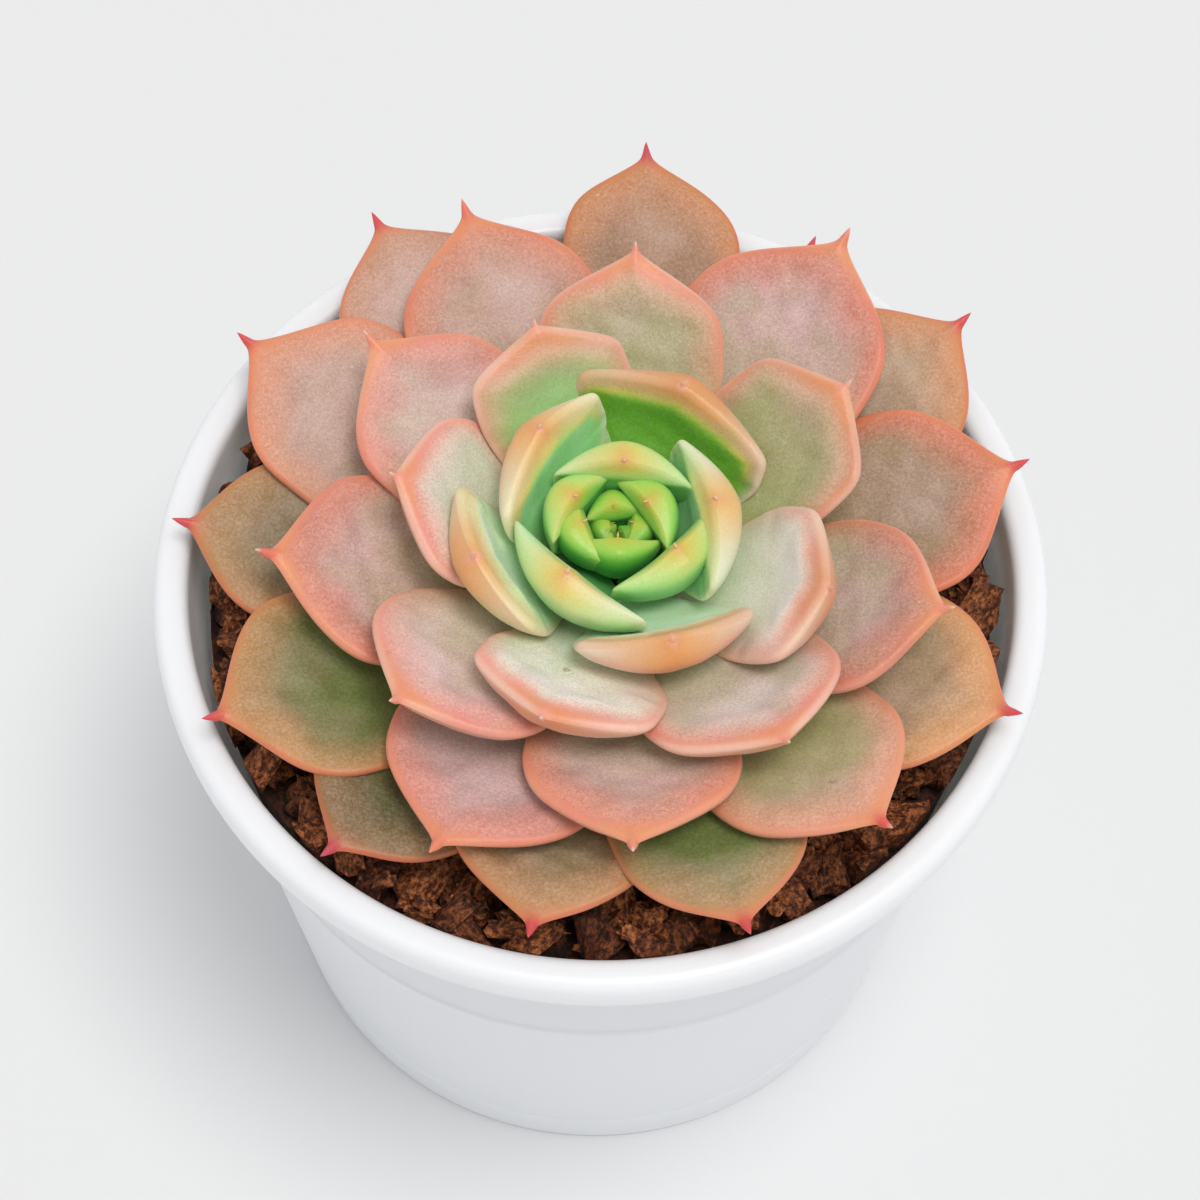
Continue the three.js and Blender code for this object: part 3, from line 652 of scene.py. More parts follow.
def leaf_grid(age, half, length, margin_wave):
    """Places on the blade, ring by ring, and their distances to the outline, the tip and the end.
    A ring runs from one margin slanting back to the middle line, out to the other margin, and
    home along the underside."""
    end, inset = length + POINT_LENGTH, law(POINT_INSET, age)
    reach, point_radius = law(POINT_REACH, age), law(POINT_RADIUS, age)

    def blade_width(along):
        to_tip = np.maximum(length - inset - along, 0)
        return half_width(age, half, np.minimum(along / length, 1), to_tip)

    def point_width(along):
        to_end = np.maximum(end - along, 0)
        foot = np.exp(-(((to_end - reach) / (POINT_FOOT * reach)) ** 2))
        return point_radius * np.where(to_end < reach, (to_end / reach) ** POINT_BLUNTNESS, foot)

    fine = end * (1 - (1 - np.linspace(0, 1, FINE_STEPS)) ** 2)
    margin = ring_places(fine, cube_root_norm(blade_width(fine), point_width(fine)))
    turn = np.arange(AROUND) * 2 * math.pi / AROUND
    ratio, above = np.cos(turn)[None, :], np.where(np.sin(turn) >= 0, 1.0, -1.0)[None, :]

    def wobble(along):
        return 1 + MARGIN_WOBBLE * margin_wave(along, np.sign(ratio) * MARGINS_APART)

    blade = blade_width(margin)[:, None] * wobble(margin[:, None])
    wide = cube_root_norm(blade, point_width(margin)[:, None])
    slant = np.minimum(SLANT * wide, SLANT_LIMIT * length) * np.minimum(margin / length, 1)[:, None] ** 2
    along, across = margin[:, None] - slant * (1 - np.abs(ratio)), wide * ratio
    blade = blade_width(along) * wobble(along)
    line = np.stack([margin, blade_width(margin)], 1)
    line = np.concatenate([line[line[:, 1] > OUTLINE_LEAST][1:], [[length - inset, 0]]])
    distance = outline_distance(along, across / wobble(along), line)
    to_end = end - along
    return SimpleNamespace(
        along=along, across=across, above=above + 0 * along, share=np.minimum(along / length, 1),
        distance=np.where(np.abs(across) < blade - TINY, distance, 0), to_end=to_end,
        to_tip=np.maximum(length - inset - along, 0), to_point=np.hypot(to_end, across),
        ratio=np.clip(np.abs(across) / np.maximum(blade, TINY), 0, 1), spike=point_width(along),
    )


def leaf_faces(age, grid, ripple):
    """How far the two faces stand off the blade, and the facet's width at each place."""
    share, distance, to_tip = grid.share, grid.distance, grid.to_tip
    fatness = ROOT_FATNESS + (1 - ROOT_FATNESS) * np.clip(share / WIDEST_AT, 0, 1)
    thickness, taper = law(THICKNESS, age) * fatness, law(TIP_TAPER, age)
    lens = law(MARGIN_SHARE, age) + (1 - law(MARGIN_SHARE, age)) * (1 - grid.ratio ** 2)
    margin_share = law(UPPER_MARGIN, age) * fade(share, 0.45, 0.7)
    plateau = np.maximum(lens, 1 - (1 - margin_share) * grid.ratio ** 2)
    plateau = UPPER_SHARE * thickness * plateau * (1 - np.exp(-UPPER_TAPER * to_tip / taper))
    facet = law(FACET, age) * (FACET_AT_SIDE + FACET_MORE_AT_TIP * np.exp(-to_tip / FACET_FADE))
    hollow = law(HOLLOW, age) * fade(share, 0.35, 0.7) * fade(distance, facet, facet + HOLLOW_WIDTH)
    edge, under_round = law(EDGE_ROUND, age), law(UNDER_ROUND, age)
    bead = edge * np.sqrt(1 - (1 - np.clip(distance / edge, 0, 1)) ** 2)
    bevel = law(BEVEL_SLOPE, age) * distance + bead
    upper = np.maximum(smooth_min(plateau - hollow, bevel, law(BEVEL_SOFTNESS, age)), 0)
    lower = LOWER_SHARE * thickness * lens * (1 - np.exp(-to_tip / taper))
    lower = lower * np.sqrt(1 - (1 - np.clip(distance / under_round, 0, 1)) ** 2)
    spike = np.sqrt(np.maximum(grid.spike ** 2 - grid.across ** 2, 0))
    face = cube_root_norm(np.where(grid.above > 0, upper, lower), spike)
    rippled = law(RIPPLE, age) * ripple(grid.along, grid.across + FACES_APART * grid.above)
    return face + rippled * fade(distance, 0, 3), facet


def leaf_shape(age, leaf):
    """Points in mm, faces and shading values of one leaf."""
    rng = np.random.default_rng(100 + age)
    half, (length, at) = leaf.half, leaf_arc(age, leaf)
    margin_wave, lift_wave, ripple = (waves(rng, *w) for w in (MARGIN_WAVES, LIFT_WAVES, RIPPLE_WAVES))
    grid = leaf_grid(age, half, length, margin_wave)
    face, grid.facet = leaf_faces(age, grid, ripple)
    settled = np.clip(grid.share / SETTLED_AT, 0, 1)
    cup = law(CUP, age) * settled * grid.across ** 2 / half
    wave = law(WAVINESS, age) * lift_wave(grid.along, grid.across) * grid.ratio ** 2 * settled
    hook = POINT_HOOK * fade(grid.to_end, law(POINT_REACH, age), 0)
    lift = cup + wave * fade(grid.to_tip, 1, 8) + hook + grid.above * face
    direction = math.radians(SPIRAL_START + age * GOLDEN_ANGLE + leaf.lean)

    def sideways(share):
        shift = leaf.side * np.sin(math.pi / 2 * np.clip(share / SETTLED_AT, 0, 1))
        return shift + leaf.bend * share**4 + leaf.sway * np.sin(math.pi * share)

    def place(along, across, lift):
        out, up, angle = at(along)
        out, up = out - lift * np.sin(angle), up + lift * np.cos(angle)
        across = across + sideways(np.minimum(along / length, 1))
        x = ROSETTE[0] + out * math.cos(direction) - across * math.sin(direction)
        y = ROSETTE[1] + out * math.sin(direction) + across * math.cos(direction)
        return np.stack([x, y, up], -1)

    ends = place(np.array([0.0, length + POINT_LENGTH]), np.zeros(2), np.array([0, POINT_HOOK]))
    points = np.concatenate([place(grid.along, grid.across, lift).reshape(-1, 3), ends])
    root, tip, last = RINGS * AROUND, RINGS * AROUND + 1, (RINGS - 1) * AROUND
    faces = tube_faces(RINGS, AROUND)
    faces += [(root, (i + 1) % AROUND, i) for i in range(AROUND)]
    faces += [(last + i, last + (i + 1) % AROUND, tip) for i in range(AROUND)]
    return points, faces, grid, rng


def upper_colour(age, leaf, grid):
    """The upper face and its green share: pale, dry, minty and frosted parts over the leaf's own
    colour, then sunned edges, a green base, and on the young leaves painted shade towards the root."""
    share, powder = grid.share, leaf.powder
    main = colour_law(FACE, age)
    main = main + (srgb(WARM) - main) * leaf.warm
    face = np.broadcast_to(main, share.shape + (3,))
    pale = varied(grid.slow, 0.45, 0.5) * fade(share, 0.3, 0.8)
    pale = pale * fade(grid.distance, law(PALE_STARTS, age), law(PALE_IS_FULL, age))
    face = blend(face, colour_law(PALE, age), powder * law(PALE_AMOUNT, age) * pale)
    dry = varied(grid.dry, -0.1, -0.6)
    face = blend(face, srgb(DRY), law(DRY_AMOUNT, age) * dry)
    minty = law(MINT_AMOUNT, age) * fade(share + 0.12 * grid.slow, 0.98, 0.4)
    face = blend(face, srgb(MINT), powder * minty)
    frosty = law(FROST_AMOUNT, age) * fade(grid.distance / grid.facet, 1.0, 1.8)
    face = blend(face, srgb(FROST), powder * frosty * varied(grid.slow, 0.7, 0.3) * fade(share, 0.5, 0.8))
    depth = EDGE_DEPTH + law(EDGE_DEEPER_AT_TIP, age) * fade(grid.to_tip, 22, 3) + 0.8 * grid.slow
    inner = fade(grid.distance, 0.2, depth)
    face = blend(face, colour_law(EDGE, age), law(EDGE_AMOUNT, age) * (1 - inner))
    green = leaf.green * fade(share + 0.04 * grid.slow, 1.1, 0.45) * (0.3 + 0.7 * inner)
    deep = law(BASE_GREEN_AMOUNT, age) * fade(share + 0.06 * grid.slow, 0.78, 0.15)
    face = blend(face, colour_law(BASE_GREEN, age), np.clip(np.maximum(deep, green), 0, 1))
    # Painted shade: the young leaves' faces go deep green towards the root
    return blend(face, srgb(PAINTED_SHADE), law(PAINTED_SHADE_AMOUNT, age) * fade(share, 1.0, 0.7)), green


def under_colour(age, leaf, grid):
    """The underside: blushed, with an ember below the point and green at the root; on the young leaves
    the root green is partly painted shade, and painted shade lies beside the margins and at the root.
    """
    share = grid.share
    under = np.broadcast_to(colour_law(UNDER, age), share.shape + (3,))
    under = blend(under, srgb(BLUSH), law(BLUSH_AMOUNT, age) * varied(grid.slow, 0.3, 0.9))
    ember = np.exp(-((grid.across / (0.55 * leaf.half)) ** 2)) * fade(grid.to_tip, 9, 2)
    under = blend(under, srgb(EMBER), law(EMBER_AMOUNT, age) * ember)
    # Green at the root: the leaf's own green base, and on the young heart leaves, whose base green is
    # darker than their underside, partly painted shade
    under = blend(under, colour_law(BASE_GREEN, age), 0.8 * fade(share, 0.85, 0.3))
    # Painted shade on the young leaves' undersides: beside the margins away from the tip, and towards the
    # root
    beside = fade(grid.ratio, 0.35, 1.0) * fade(grid.to_tip, 0, 6)
    shaded_share = np.maximum(beside, fade(share, 0.95, 0.6))
    return blend(under, srgb(PAINTED_SHADE), law(PAINTED_SHADE_AMOUNT, age) * np.clip(shaded_share, 0, 1))


def add_rim(age, leaf, grid, tint):
    """The coloured rim, which is wider and another colour near the tip; also returns its width."""
    tip_near = fade(grid.to_point, 9, 1)
    width = law(RIM_WIDTH, age) * (1 + 1.2 * tip_near) * (1 + 0.2 * grid.slow)
    rim = np.exp(-((np.maximum(grid.distance + 0.1 * grid.quick, 0) / width) ** 1.3))
    rim = rim * fade(grid.share, 0.1, 0.5) * (1 + 0.1 * grid.slow) * varied(grid.edge_tone, 0.9, 0.25)
    peach = varied(grid.edge_tone, 0.35, 0.6) * law(PEACH_AMOUNT, age)
    colour = blend(np.broadcast_to(colour_law(RIM, age), tint.shape), srgb(PEACH), peach)
    colour = colour + (colour_law(RIM_TIP, age) - colour) * tip_near[..., None]
    return blend(tint, colour, np.clip(law(RIM_AMOUNT, age) * leaf.rim * rim, 0, 1)), width


def add_facet(age, leaf, grid, tint):
    """The facet beside the margin, its glow near the tip, a painted highlight along its ridge, and
    the thin outer lip.
    """
    turned = grid.distance / grid.facet
    from_tip = np.exp(-((grid.to_tip / law(FACET_REACH, age)) ** 2))
    facet = leaf.faceted * law(FACET_AMOUNT, age) * fade(grid.share, 0.5, 0.75)
    facet = facet * (grid.above > 0) * (0.12 + 0.88 * from_tip)
    zone = facet * fade(turned + 0.1 * grid.quick, 1.3, 0.5) * (0.8 + 0.2 * grid.slow)
    tint = blend(tint, colour_law(FACET_TINT, age), np.clip(zone, 0, 1))
    at_tip = np.exp(-((grid.across / (law(GLOW_SPREAD, age) * leaf.half)) ** 2))
    depth = law(GLOW_DEPTH, age)
    glow = at_tip * np.exp(-((grid.distance / depth) ** 2)) * fade(grid.to_tip, 3 * depth, depth)
    glow = law(GLOW_AMOUNT, age) * glow * (1 + 0.1 * grid.quick)
    tint = blend(tint, colour_law(GLOW, age), np.clip(glow, 0, 1))
    # Painted highlight along the facet's ridge
    ridge = facet * np.exp(-(((turned - 1) / RIDGE_HIGHLIGHT_WIDTH) ** 2)) * varied(grid.slow, 0.75, 0.3)
    tint = blend(tint, colour_law(RIDGE_HIGHLIGHT, age), law(RIDGE_HIGHLIGHT_AMOUNT, age) * ridge)
    lip = np.exp(-((grid.distance / law(LIP_WIDTH, age)) ** 2)) * varied(grid.edge_tone, 0.8, 0.4)
    lip = lip * (1 - law(LIP_GIVES_WAY, age) * at_tip) * fade(grid.share, 0.1, 0.4)
    return blend(tint, colour_law(LIP, age), law(LIP_AMOUNT, age) * lip)


def add_point(age, grid, tint):
    """The halo round the point, the point itself, and the cream end of a middle-aged one."""
    halo = np.exp(-((grid.to_point / law(HALO_REACH, age)) ** 2))
    tint = blend(tint, colour_law(HALO, age), law(HALO_AMOUNT, age) * halo)
    reach = law(POINT_REACH, age)
    point = fade(np.hypot(grid.to_end, 1.3 * grid.across), 2.1 * reach, 0.6 * reach)
    tint = blend(tint, colour_law(POINT, age), POINT_AMOUNT * point)
    return blend(tint, srgb(CREAM), law(CREAM_AMOUNT, age) * fade(grid.to_end, 0.6, 0.15))


def leaf_tint(age, leaf, grid, rng):
    """The leaf's colour and its powdery bloom at each point of its grid."""
    patch, streak, tone = (waves(rng, *spans) for spans in (PATCHES, STREAKS, EDGE_TONES))
    grid.slow, grid.quick = patch(grid.along, grid.across), streak(grid.along, grid.across)
    grid.dry = patch(grid.across + PATCHES_APART, grid.along)
    grid.edge_tone = tone(grid.along, np.sign(grid.across) * EDGES_APART)
    upper = grid.above > 0
    face, green = upper_colour(age, leaf, grid)
    tint = np.where(upper[..., None], face, under_colour(age, leaf, grid))
    tint, rim_width = add_rim(age, leaf, grid, tint)
    tint = add_facet(age, leaf, grid, tint)
    tint = add_point(age, grid, tint)
    bloom = law(BLOOM, age) * fade(grid.distance / rim_width, 0.2, 1.8) * fade(grid.share, 0.1, 0.5)
    bloom = bloom * np.where(upper, 1.0, 0.5) * (1 - 0.6 * np.clip(green, 0, 1))
    return np.clip(tint, 0, 1), np.clip(bloom, 0, 1)


def dress_leaf(age, leaf):
    """Points, faces, tint and bloom of one leaf, its two end points last."""
    points, faces, grid, rng = leaf_shape(age, leaf)
    tint, bloom = leaf_tint(age, leaf, grid, rng)
    tint, bloom = tint.reshape(-1, 3), bloom.ravel()
    tint = np.concatenate([tint, tint[:1], tint[-1:]])
    bloom = np.concatenate([bloom, bloom[:1], bloom[-1:]])
    return points, faces, tint, bloom


def leaf_piece(name, slot, points, faces, tint, bloom):
    attributes = [("bloom", "FLOAT", bloom), ("tint", "FLOAT_COLOR", tint)]
    return make_piece(name, points, faces, leaf_looks[slot], attributes)


def build_heart():
    """The heart's leaves, joined in one mesh."""
    points, faces, tint, bloom, count = [], [], [], [], 0
    for age, leaf in HEART.items():
        leaf_points, leaf_faces, leaf_tints, leaf_bloom = dress_leaf(age, leaf)
        faces += [tuple(count + corner for corner in face) for face in leaf_faces]
        count += len(leaf_points)
        points.append(leaf_points)
        tint.append(leaf_tints)
        bloom.append(leaf_bloom)
    points, tint, bloom = (np.concatenate(parts) for parts in (points, tint, bloom))
    return leaf_piece("fine_heart", "leaf_young", points, faces, tint, bloom)


leaf_looks = {name: leaf_material(name, skin) for name, skin in LEAF_SKINS.items()}
for age, leaf in LEAVES.items():
    slot = next(name for name, skin in LEAF_SKINS.items() if age <= skin["oldest"])
    own(leaf_piece(f"fine_leaf_{age:02d}", slot, *dress_leaf(age, leaf)), f"leaf_{age:02d}")
own(build_heart(), "heart")

# Pot
POT_HEIGHT, LIP_RADIUS, LIP_DEPTH, MOUTH_RADIUS = 80, 52.5, 5.2, 48.3
BASE_RADIUS, BODY_TOP_RADIUS, WALL, FLOOR = 40.6, 48.8, 1.0, 2.4
STEP_HEIGHT, STEP_DEPTH, STEP_SLOPE = 50.6, 0.35, 0.45
GROOVE_HEIGHT, GROOVE_DEPTH, GROOVE_HALF = 8.8, 0.3, 0.45
GATE_RADIUS, GATE_SLOPE, GATE_DEPTH = 3, 0.4, 0.25
DRAIN_RADIUS, DRAIN_CIRCLE, DRAIN_COUNT, DRAIN_SIDES = 3, 25, 6, 48
DRILL_FROM, DRILL_TO = -2, 6
LIP_LEAN, LIP_BULGE, BODY_RING = 0.4, 2.2, 30
LIP_UNDERSIDE = POT_HEIGHT - LIP_DEPTH
POT_SIDES, POT_SHARP = 256, 38
FILLET_LIMIT, FILLET_STEPS = 0.49, 6
SOIL_ENDS, SOIL_IS_FULL, SOIL_AMOUNT = 77.6, 74.5, 0.1


def cone_radius(height):
    return BASE_RADIUS + (BODY_TOP_RADIUS - BASE_RADIUS) * height / LIP_UNDERSIDE


def pot_profile():
    """The pot's section as radius, height and fillet, from the middle of the base up the outside,
    over the lip and down the inside."""
    top, step, groove = BODY_TOP_RADIUS - STEP_DEPTH, cone_radius(STEP_HEIGHT), cone_radius(GROOVE_HEIGHT)
    groove_foot, groove_head = GROOVE_HEIGHT - GROOVE_HALF, GROOVE_HEIGHT + GROOVE_HALF
    return [
        (0, GATE_DEPTH, 0),
        (GATE_RADIUS, GATE_DEPTH, 0.3),
        (GATE_RADIUS + GATE_SLOPE, 0, 0.3),
        (BASE_RADIUS, 0, 0.9),
        (cone_radius(groove_foot), groove_foot, 0.2),
        (groove - GROOVE_DEPTH, GROOVE_HEIGHT, 0.3),
        (cone_radius(groove_head), groove_head, 0.2),
        (cone_radius(BODY_RING), BODY_RING, 0),
        (step, STEP_HEIGHT, 0.25),
        (step - STEP_DEPTH, STEP_HEIGHT + STEP_SLOPE, 0.25),
        (top, LIP_UNDERSIDE, 0.5),
        (LIP_RADIUS - LIP_LEAN, LIP_UNDERSIDE, 0.7),
        (LIP_RADIUS, LIP_UNDERSIDE + LIP_BULGE, 1.2),
        (LIP_RADIUS - LIP_LEAN, POT_HEIGHT, 2.4),
        (MOUTH_RADIUS + 0.1, POT_HEIGHT, 1.9),
        (MOUTH_RADIUS - 0.2, LIP_UNDERSIDE + 2.6, 1.2),
        (top - WALL, LIP_UNDERSIDE - 2, 1.5),
        (cone_radius(BODY_RING) - STEP_DEPTH - WALL, BODY_RING, 0),
        (cone_radius(FLOOR) - WALL - 0.2, FLOOR, 1.2),
        (0, FLOOR, 0),
    ]


def drill_holes(pot):
    """Cuts the drain holes and bakes them into the pot's mesh."""
    cutters = []
    for i in range(DRAIN_COUNT):
        angle = 2 * math.pi * i / DRAIN_COUNT
        profile = [(0, DRILL_FROM), (DRAIN_RADIUS, DRILL_FROM), (DRAIN_RADIUS, DRILL_TO), (0, DRILL_TO)]
        drill, sides = lathe(profile, DRAIN_SIDES)
        drill += np.array([DRAIN_CIRCLE * math.cos(angle), DRAIN_CIRCLE * math.sin(angle), 0])
        cutters.append(make_piece(f"drill_{i}", drill, sides, pot.data.materials[0]))
    for cutter in cutters:
        cut = pot.modifiers.new("drain", "BOOLEAN")
        cut.operation, cut.solver, cut.object = "DIFFERENCE", "EXACT", cutter
    bpy.context.view_layer.update()
    result = bpy.data.meshes.new_from_object(pot.evaluated_get(bpy.context.evaluated_depsgraph_get()))
    pot.modifiers.clear()
    pot.data = result
    for cutter in cutters:
        bpy.data.objects.remove(cutter)


def build_pot():
    points, faces = lathe(rounded(pot_profile()), POT_SIDES)
    radius, height = np.hypot(points[:, 0], points[:, 1]), points[:, 2]
    inside = (radius < cone_radius(height) - 0.6) & (height > 60)
    soil = np.where(inside, fade(height, SOIL_ENDS, SOIL_IS_FULL), 0) * SOIL_AMOUNT
    attributes = [("soil", "FLOAT", soil)]
    pot = make_piece("pot_shell", points, faces, plastic_material(), attributes, POT_SHARP)
    drill_holes(pot)
    return pot


own(build_pot(), "pot")

# Planting mix
MIX_TOP_AT_WALL, MIX_TOP_AT_STEM, STEM_FOOT_RADIUS = 74.2, 70.0, 6.8
MIX_CLEARANCE = 0.75
BED_FOOT, BED_MIDDLE, BED_SHOULDER, BED_BELOW_TOP = 3.0, 40, 71, 1.9
BED_ROWS, BED_SIDES = 22, 96
SOCKET_RADIUS, SOCKET_MOUTH, SOCKET_FLOOR = 7.3, 7.6, 61.8
LUMPS, LUMP_HEIGHT, LUMPS_END, LUMPS_ARE_FULL = (2.5, 7, 16), 0.8, 46.6, 44.5
# The bed's darkness is painted shade for the gaps between the chips
BED_TONE, BED_PAINTED_SHADE, BED_FIBRE = 0.25, 0.75, 0.6
CHIP_LAYERS = [
    dict(count=330, rise=-0.9, spread=0.7, scale=1.0, cells=(6, 4, 3)),
    dict(count=230, rise=0.85, spread=0.9, scale=0.9, cells=(6, 4, 3)),
    dict(count=260, rise=1.5, spread=1.2, scale=0.42, cells=(4, 3, 2)),
]
CHIP_SIZE = (3.4, 6.4), (2.6, 4.2), (2.2, 3.6)
CHIPS_FROM, CHIPS_TO, CHIPS_APART, TRIES_A_CHIP = 15, 45.6, 3.1, 20
CHIPS_CLIMB_FROM, CHIPS_CLIMB_TO, CHIPS_CLIMB = 40, 45, 1.5
CHIP_TONES, CHIP_FIBRE, CHIP_TILT = (1.2, 1.7), (0.8, 1.6, 1.6), (0.75, 0.5)
CHIP_KNOCKED, CHIP_BOWED = 0.8, 2
SPLITS, SPLIT_DEPTH, SPLITS_AROUND, SPLITS_ALONG = (0.7, 2.2, 10), 0.2, 2.2, 0.12
RAGS, RAG_LENGTH = (0.5, 1.6, 8), 0.55
# The painted shade on the chips comes in over this depth below the top of the mix, up to this strength
HOLLOW_DEPTH, HOLLOW_PAINTED_SHADE = 1.2, 0.92
FIBRE_COUNT, FIBRES_FROM, FIBRES_TO = 170, 20, 44
FIBRE_STEPS, FIBRE_SIDES = 8, 4
MIX_SHARP = 14


def room_radius(height):
    return cone_radius(height) - STEP_DEPTH - WALL - MIX_CLEARANCE


def mix_height(radius):
    slope = (MIX_TOP_AT_WALL - MIX_TOP_AT_STEM) / (room_radius(MIX_TOP_AT_WALL) - STEM_FOOT_RADIUS)
    return MIX_TOP_AT_STEM + slope * (radius - STEM_FOOT_RADIUS)


def ring_spot(rng, inner, outer):
    """A random place between two radii: its radius, and its x and y."""
    radius, turn = math.sqrt(rng.uniform(inner**2, outer**2)), rng.uniform(0, 2 * math.pi)
    return radius, np.array([radius * math.cos(turn), radius * math.sin(turn)])


def keep_inside(body, margin=0):
    """Pulls points that would go through the pot's wall back to it."""
    away = np.hypot(body[:, 0], body[:, 1])
    body[:, :2] *= np.minimum(1, (room_radius(body[:, 2]) + margin) / away)[:, None]


def turned(x, y, z):
    """The matrix of a turn about the X axis, then Y, then Z."""
    turn = Matrix.Rotation(z, 3, "Z") @ Matrix.Rotation(y, 3, "Y") @ Matrix.Rotation(x, 3, "X")
    return np.array(turn)


def chip_box(cells):
    """The points and faces of a box of side 1, each side cut in so many cells."""
    index, faces = {}, []
    for fixed, low_turn in ((2, 1), (1, -1), (0, 1)):
        u, v = (axis for axis in range(3) if axis != fixed)
        for i, j in product(range(cells[u]), range(cells[v])):
            for level, turn in ((0, low_turn), (cells[fixed], -low_turn)):
                quad = []
                for step_u, step_v in ((0, 0), (0, 1), (1, 1), (1, 0)):
                    place = [level] * 3
                    place[u], place[v] = i + step_u, j + step_v
                    quad.append(index.setdefault(tuple(place), len(index)))
                faces.append(tuple(quad[::turn]))
    return np.array(list(index)) / cells - 0.5, faces


def torn_chip(rng, size, cells):
    """One torn chip about its own middle: a box with its corners knocked about, bowed, split along
    the fibre and ragged at both ends."""
    box, faces = chip_box(cells)
    corner = 1 + CHIP_KNOCKED * (rng.random((2, 2, 2, 3)) - 0.5)
    weights = [(1 - part, part) for part in (box + 0.5).T]
    scale = sum(
        (weights[0][i] * weights[1][j] * weights[2][k])[:, None] * corner[i, j, k]
        for i, j, k in product((0, 1), repeat=3)
    )
    body = box * scale * size
    body[:, 2] += CHIP_BOWED * size[2] * (rng.random() - 0.5) * box[:, 0] ** 2
    split, ragged = waves(rng, *SPLITS), waves(rng, *RAGS)
    around = np.arctan2(body[:, 2], body[:, 1])
    ridge = SPLIT_DEPTH * split(around * SPLITS_AROUND, body[:, 0] * SPLITS_ALONG)
    body[:, 1] += np.cos(around) * ridge
    body[:, 2] += np.sin(around) * ridge
    ends = np.abs(2 * box[:, 0]) ** 4
    body[:, 0] += RAG_LENGTH * ends * ragged(body[:, 1], body[:, 2]) * np.sign(box[:, 0])
    return body, faces


class Husk:
    """The bodies of the mix, gathered for one mesh with their attributes."""

    def __init__(self):
        self.points, self.faces, self.hue, self.deep, self.along_chip = [], [], [], [], []
        self.count = 0

    def take(self, body, faces, tone, fibre, hollow_shade):
        self.faces.extend(tuple(self.count + corner for corner in face) for face in faces)
        self.count += len(body)
        self.points.append(body)
        self.hue.append(np.full(len(body), tone))
        self.along_chip.append(fibre)
        self.deep.append(hollow_shade)

    def piece(self):
        attributes = [
            ("hue", "FLOAT", np.concatenate(self.hue)),
            ("deep", "FLOAT", np.concatenate(self.deep)),
            ("along_chip", "FLOAT_VECTOR", np.concatenate(self.along_chip)),
        ]
        points = np.concatenate(self.points)
        return make_piece("husk_mix", points, self.faces, husk_material(), attributes, MIX_SHARP)


def add_bed(husk, rng):
    """The lumpy bed below the chips, painted dark as shade in their gaps, with a socket for the stem."""
    rows = np.linspace(room_radius(MIX_TOP_AT_WALL) - 0.4, SOCKET_MOUTH, BED_ROWS)
    profile = [(0, BED_FOOT), (room_radius(BED_FOOT) - 0.5, BED_FOOT)]
    profile += [(room_radius(BED_MIDDLE), BED_MIDDLE), (room_radius(BED_SHOULDER) - 0.1, BED_SHOULDER)]
    profile += [(radius, mix_height(radius) - BED_BELOW_TOP) for radius in rows]
    profile += [(SOCKET_RADIUS, SOCKET_FLOOR), (0, SOCKET_FLOOR)]
    body, faces = lathe(profile, BED_SIDES)
    radius = np.hypot(body[:, 0], body[:, 1])
    lumps = waves(rng, *LUMPS)(body[:, 0], body[:, 1])
    loose = fade(radius, LUMPS_END, LUMPS_ARE_FULL) * (body[:, 2] > 66)
    body[:, 2] += LUMP_HEIGHT * lumps * loose
    body[(body[:, 2] > 60) & (radius < 9), :2] += ROSETTE
    husk.take(body, faces, BED_TONE, body * BED_FIBRE, np.full(len(body), BED_PAINTED_SHADE))


def add_chip(husk, rng, radius, spot, layer):
    size = np.array([rng.uniform(*span) for span in CHIP_SIZE]) * layer["scale"]
    chip, faces = torn_chip(rng, size, layer["cells"])
    tone = rng.beta(*CHIP_TONES)
    fibre = chip * np.array(CHIP_FIBRE) + rng.random(3) * 50
    tilt = turned(*(rng.normal(0, spread) for spread in CHIP_TILT), rng.uniform(0, 2 * math.pi))
    height = mix_height(radius) + layer["rise"] + layer["spread"] * (rng.random() - 0.5)
    height += CHIPS_CLIMB * fade(radius, CHIPS_CLIMB_FROM, CHIPS_CLIMB_TO)
    chip = chip @ tilt.T + np.array([*spot, height])
    # Painted shade on the parts of the chip below the top of the mix
    hollow_shade = HOLLOW_PAINTED_SHADE * fade(chip[:, 2] - mix_height(radius), HOLLOW_DEPTH, -HOLLOW_DEPTH)
    keep_inside(chip, margin=0.15)
    husk.take(chip, faces, tone, fibre, hollow_shade)


def add_layer(husk, rng, layer):
    """A layer of chips at random places that aren't too close to each other."""
    placed = []
    for _ in range(TRIES_A_CHIP * layer["count"]):
        radius, spot = ring_spot(rng, CHIPS_FROM, CHIPS_TO)
        if any(np.hypot(*(spot - other)) < CHIPS_APART * layer["scale"] for other in placed):
            continue
        placed.append(spot)
        add_chip(husk, rng, radius, spot, layer)
        if len(placed) == layer["count"]:
            break


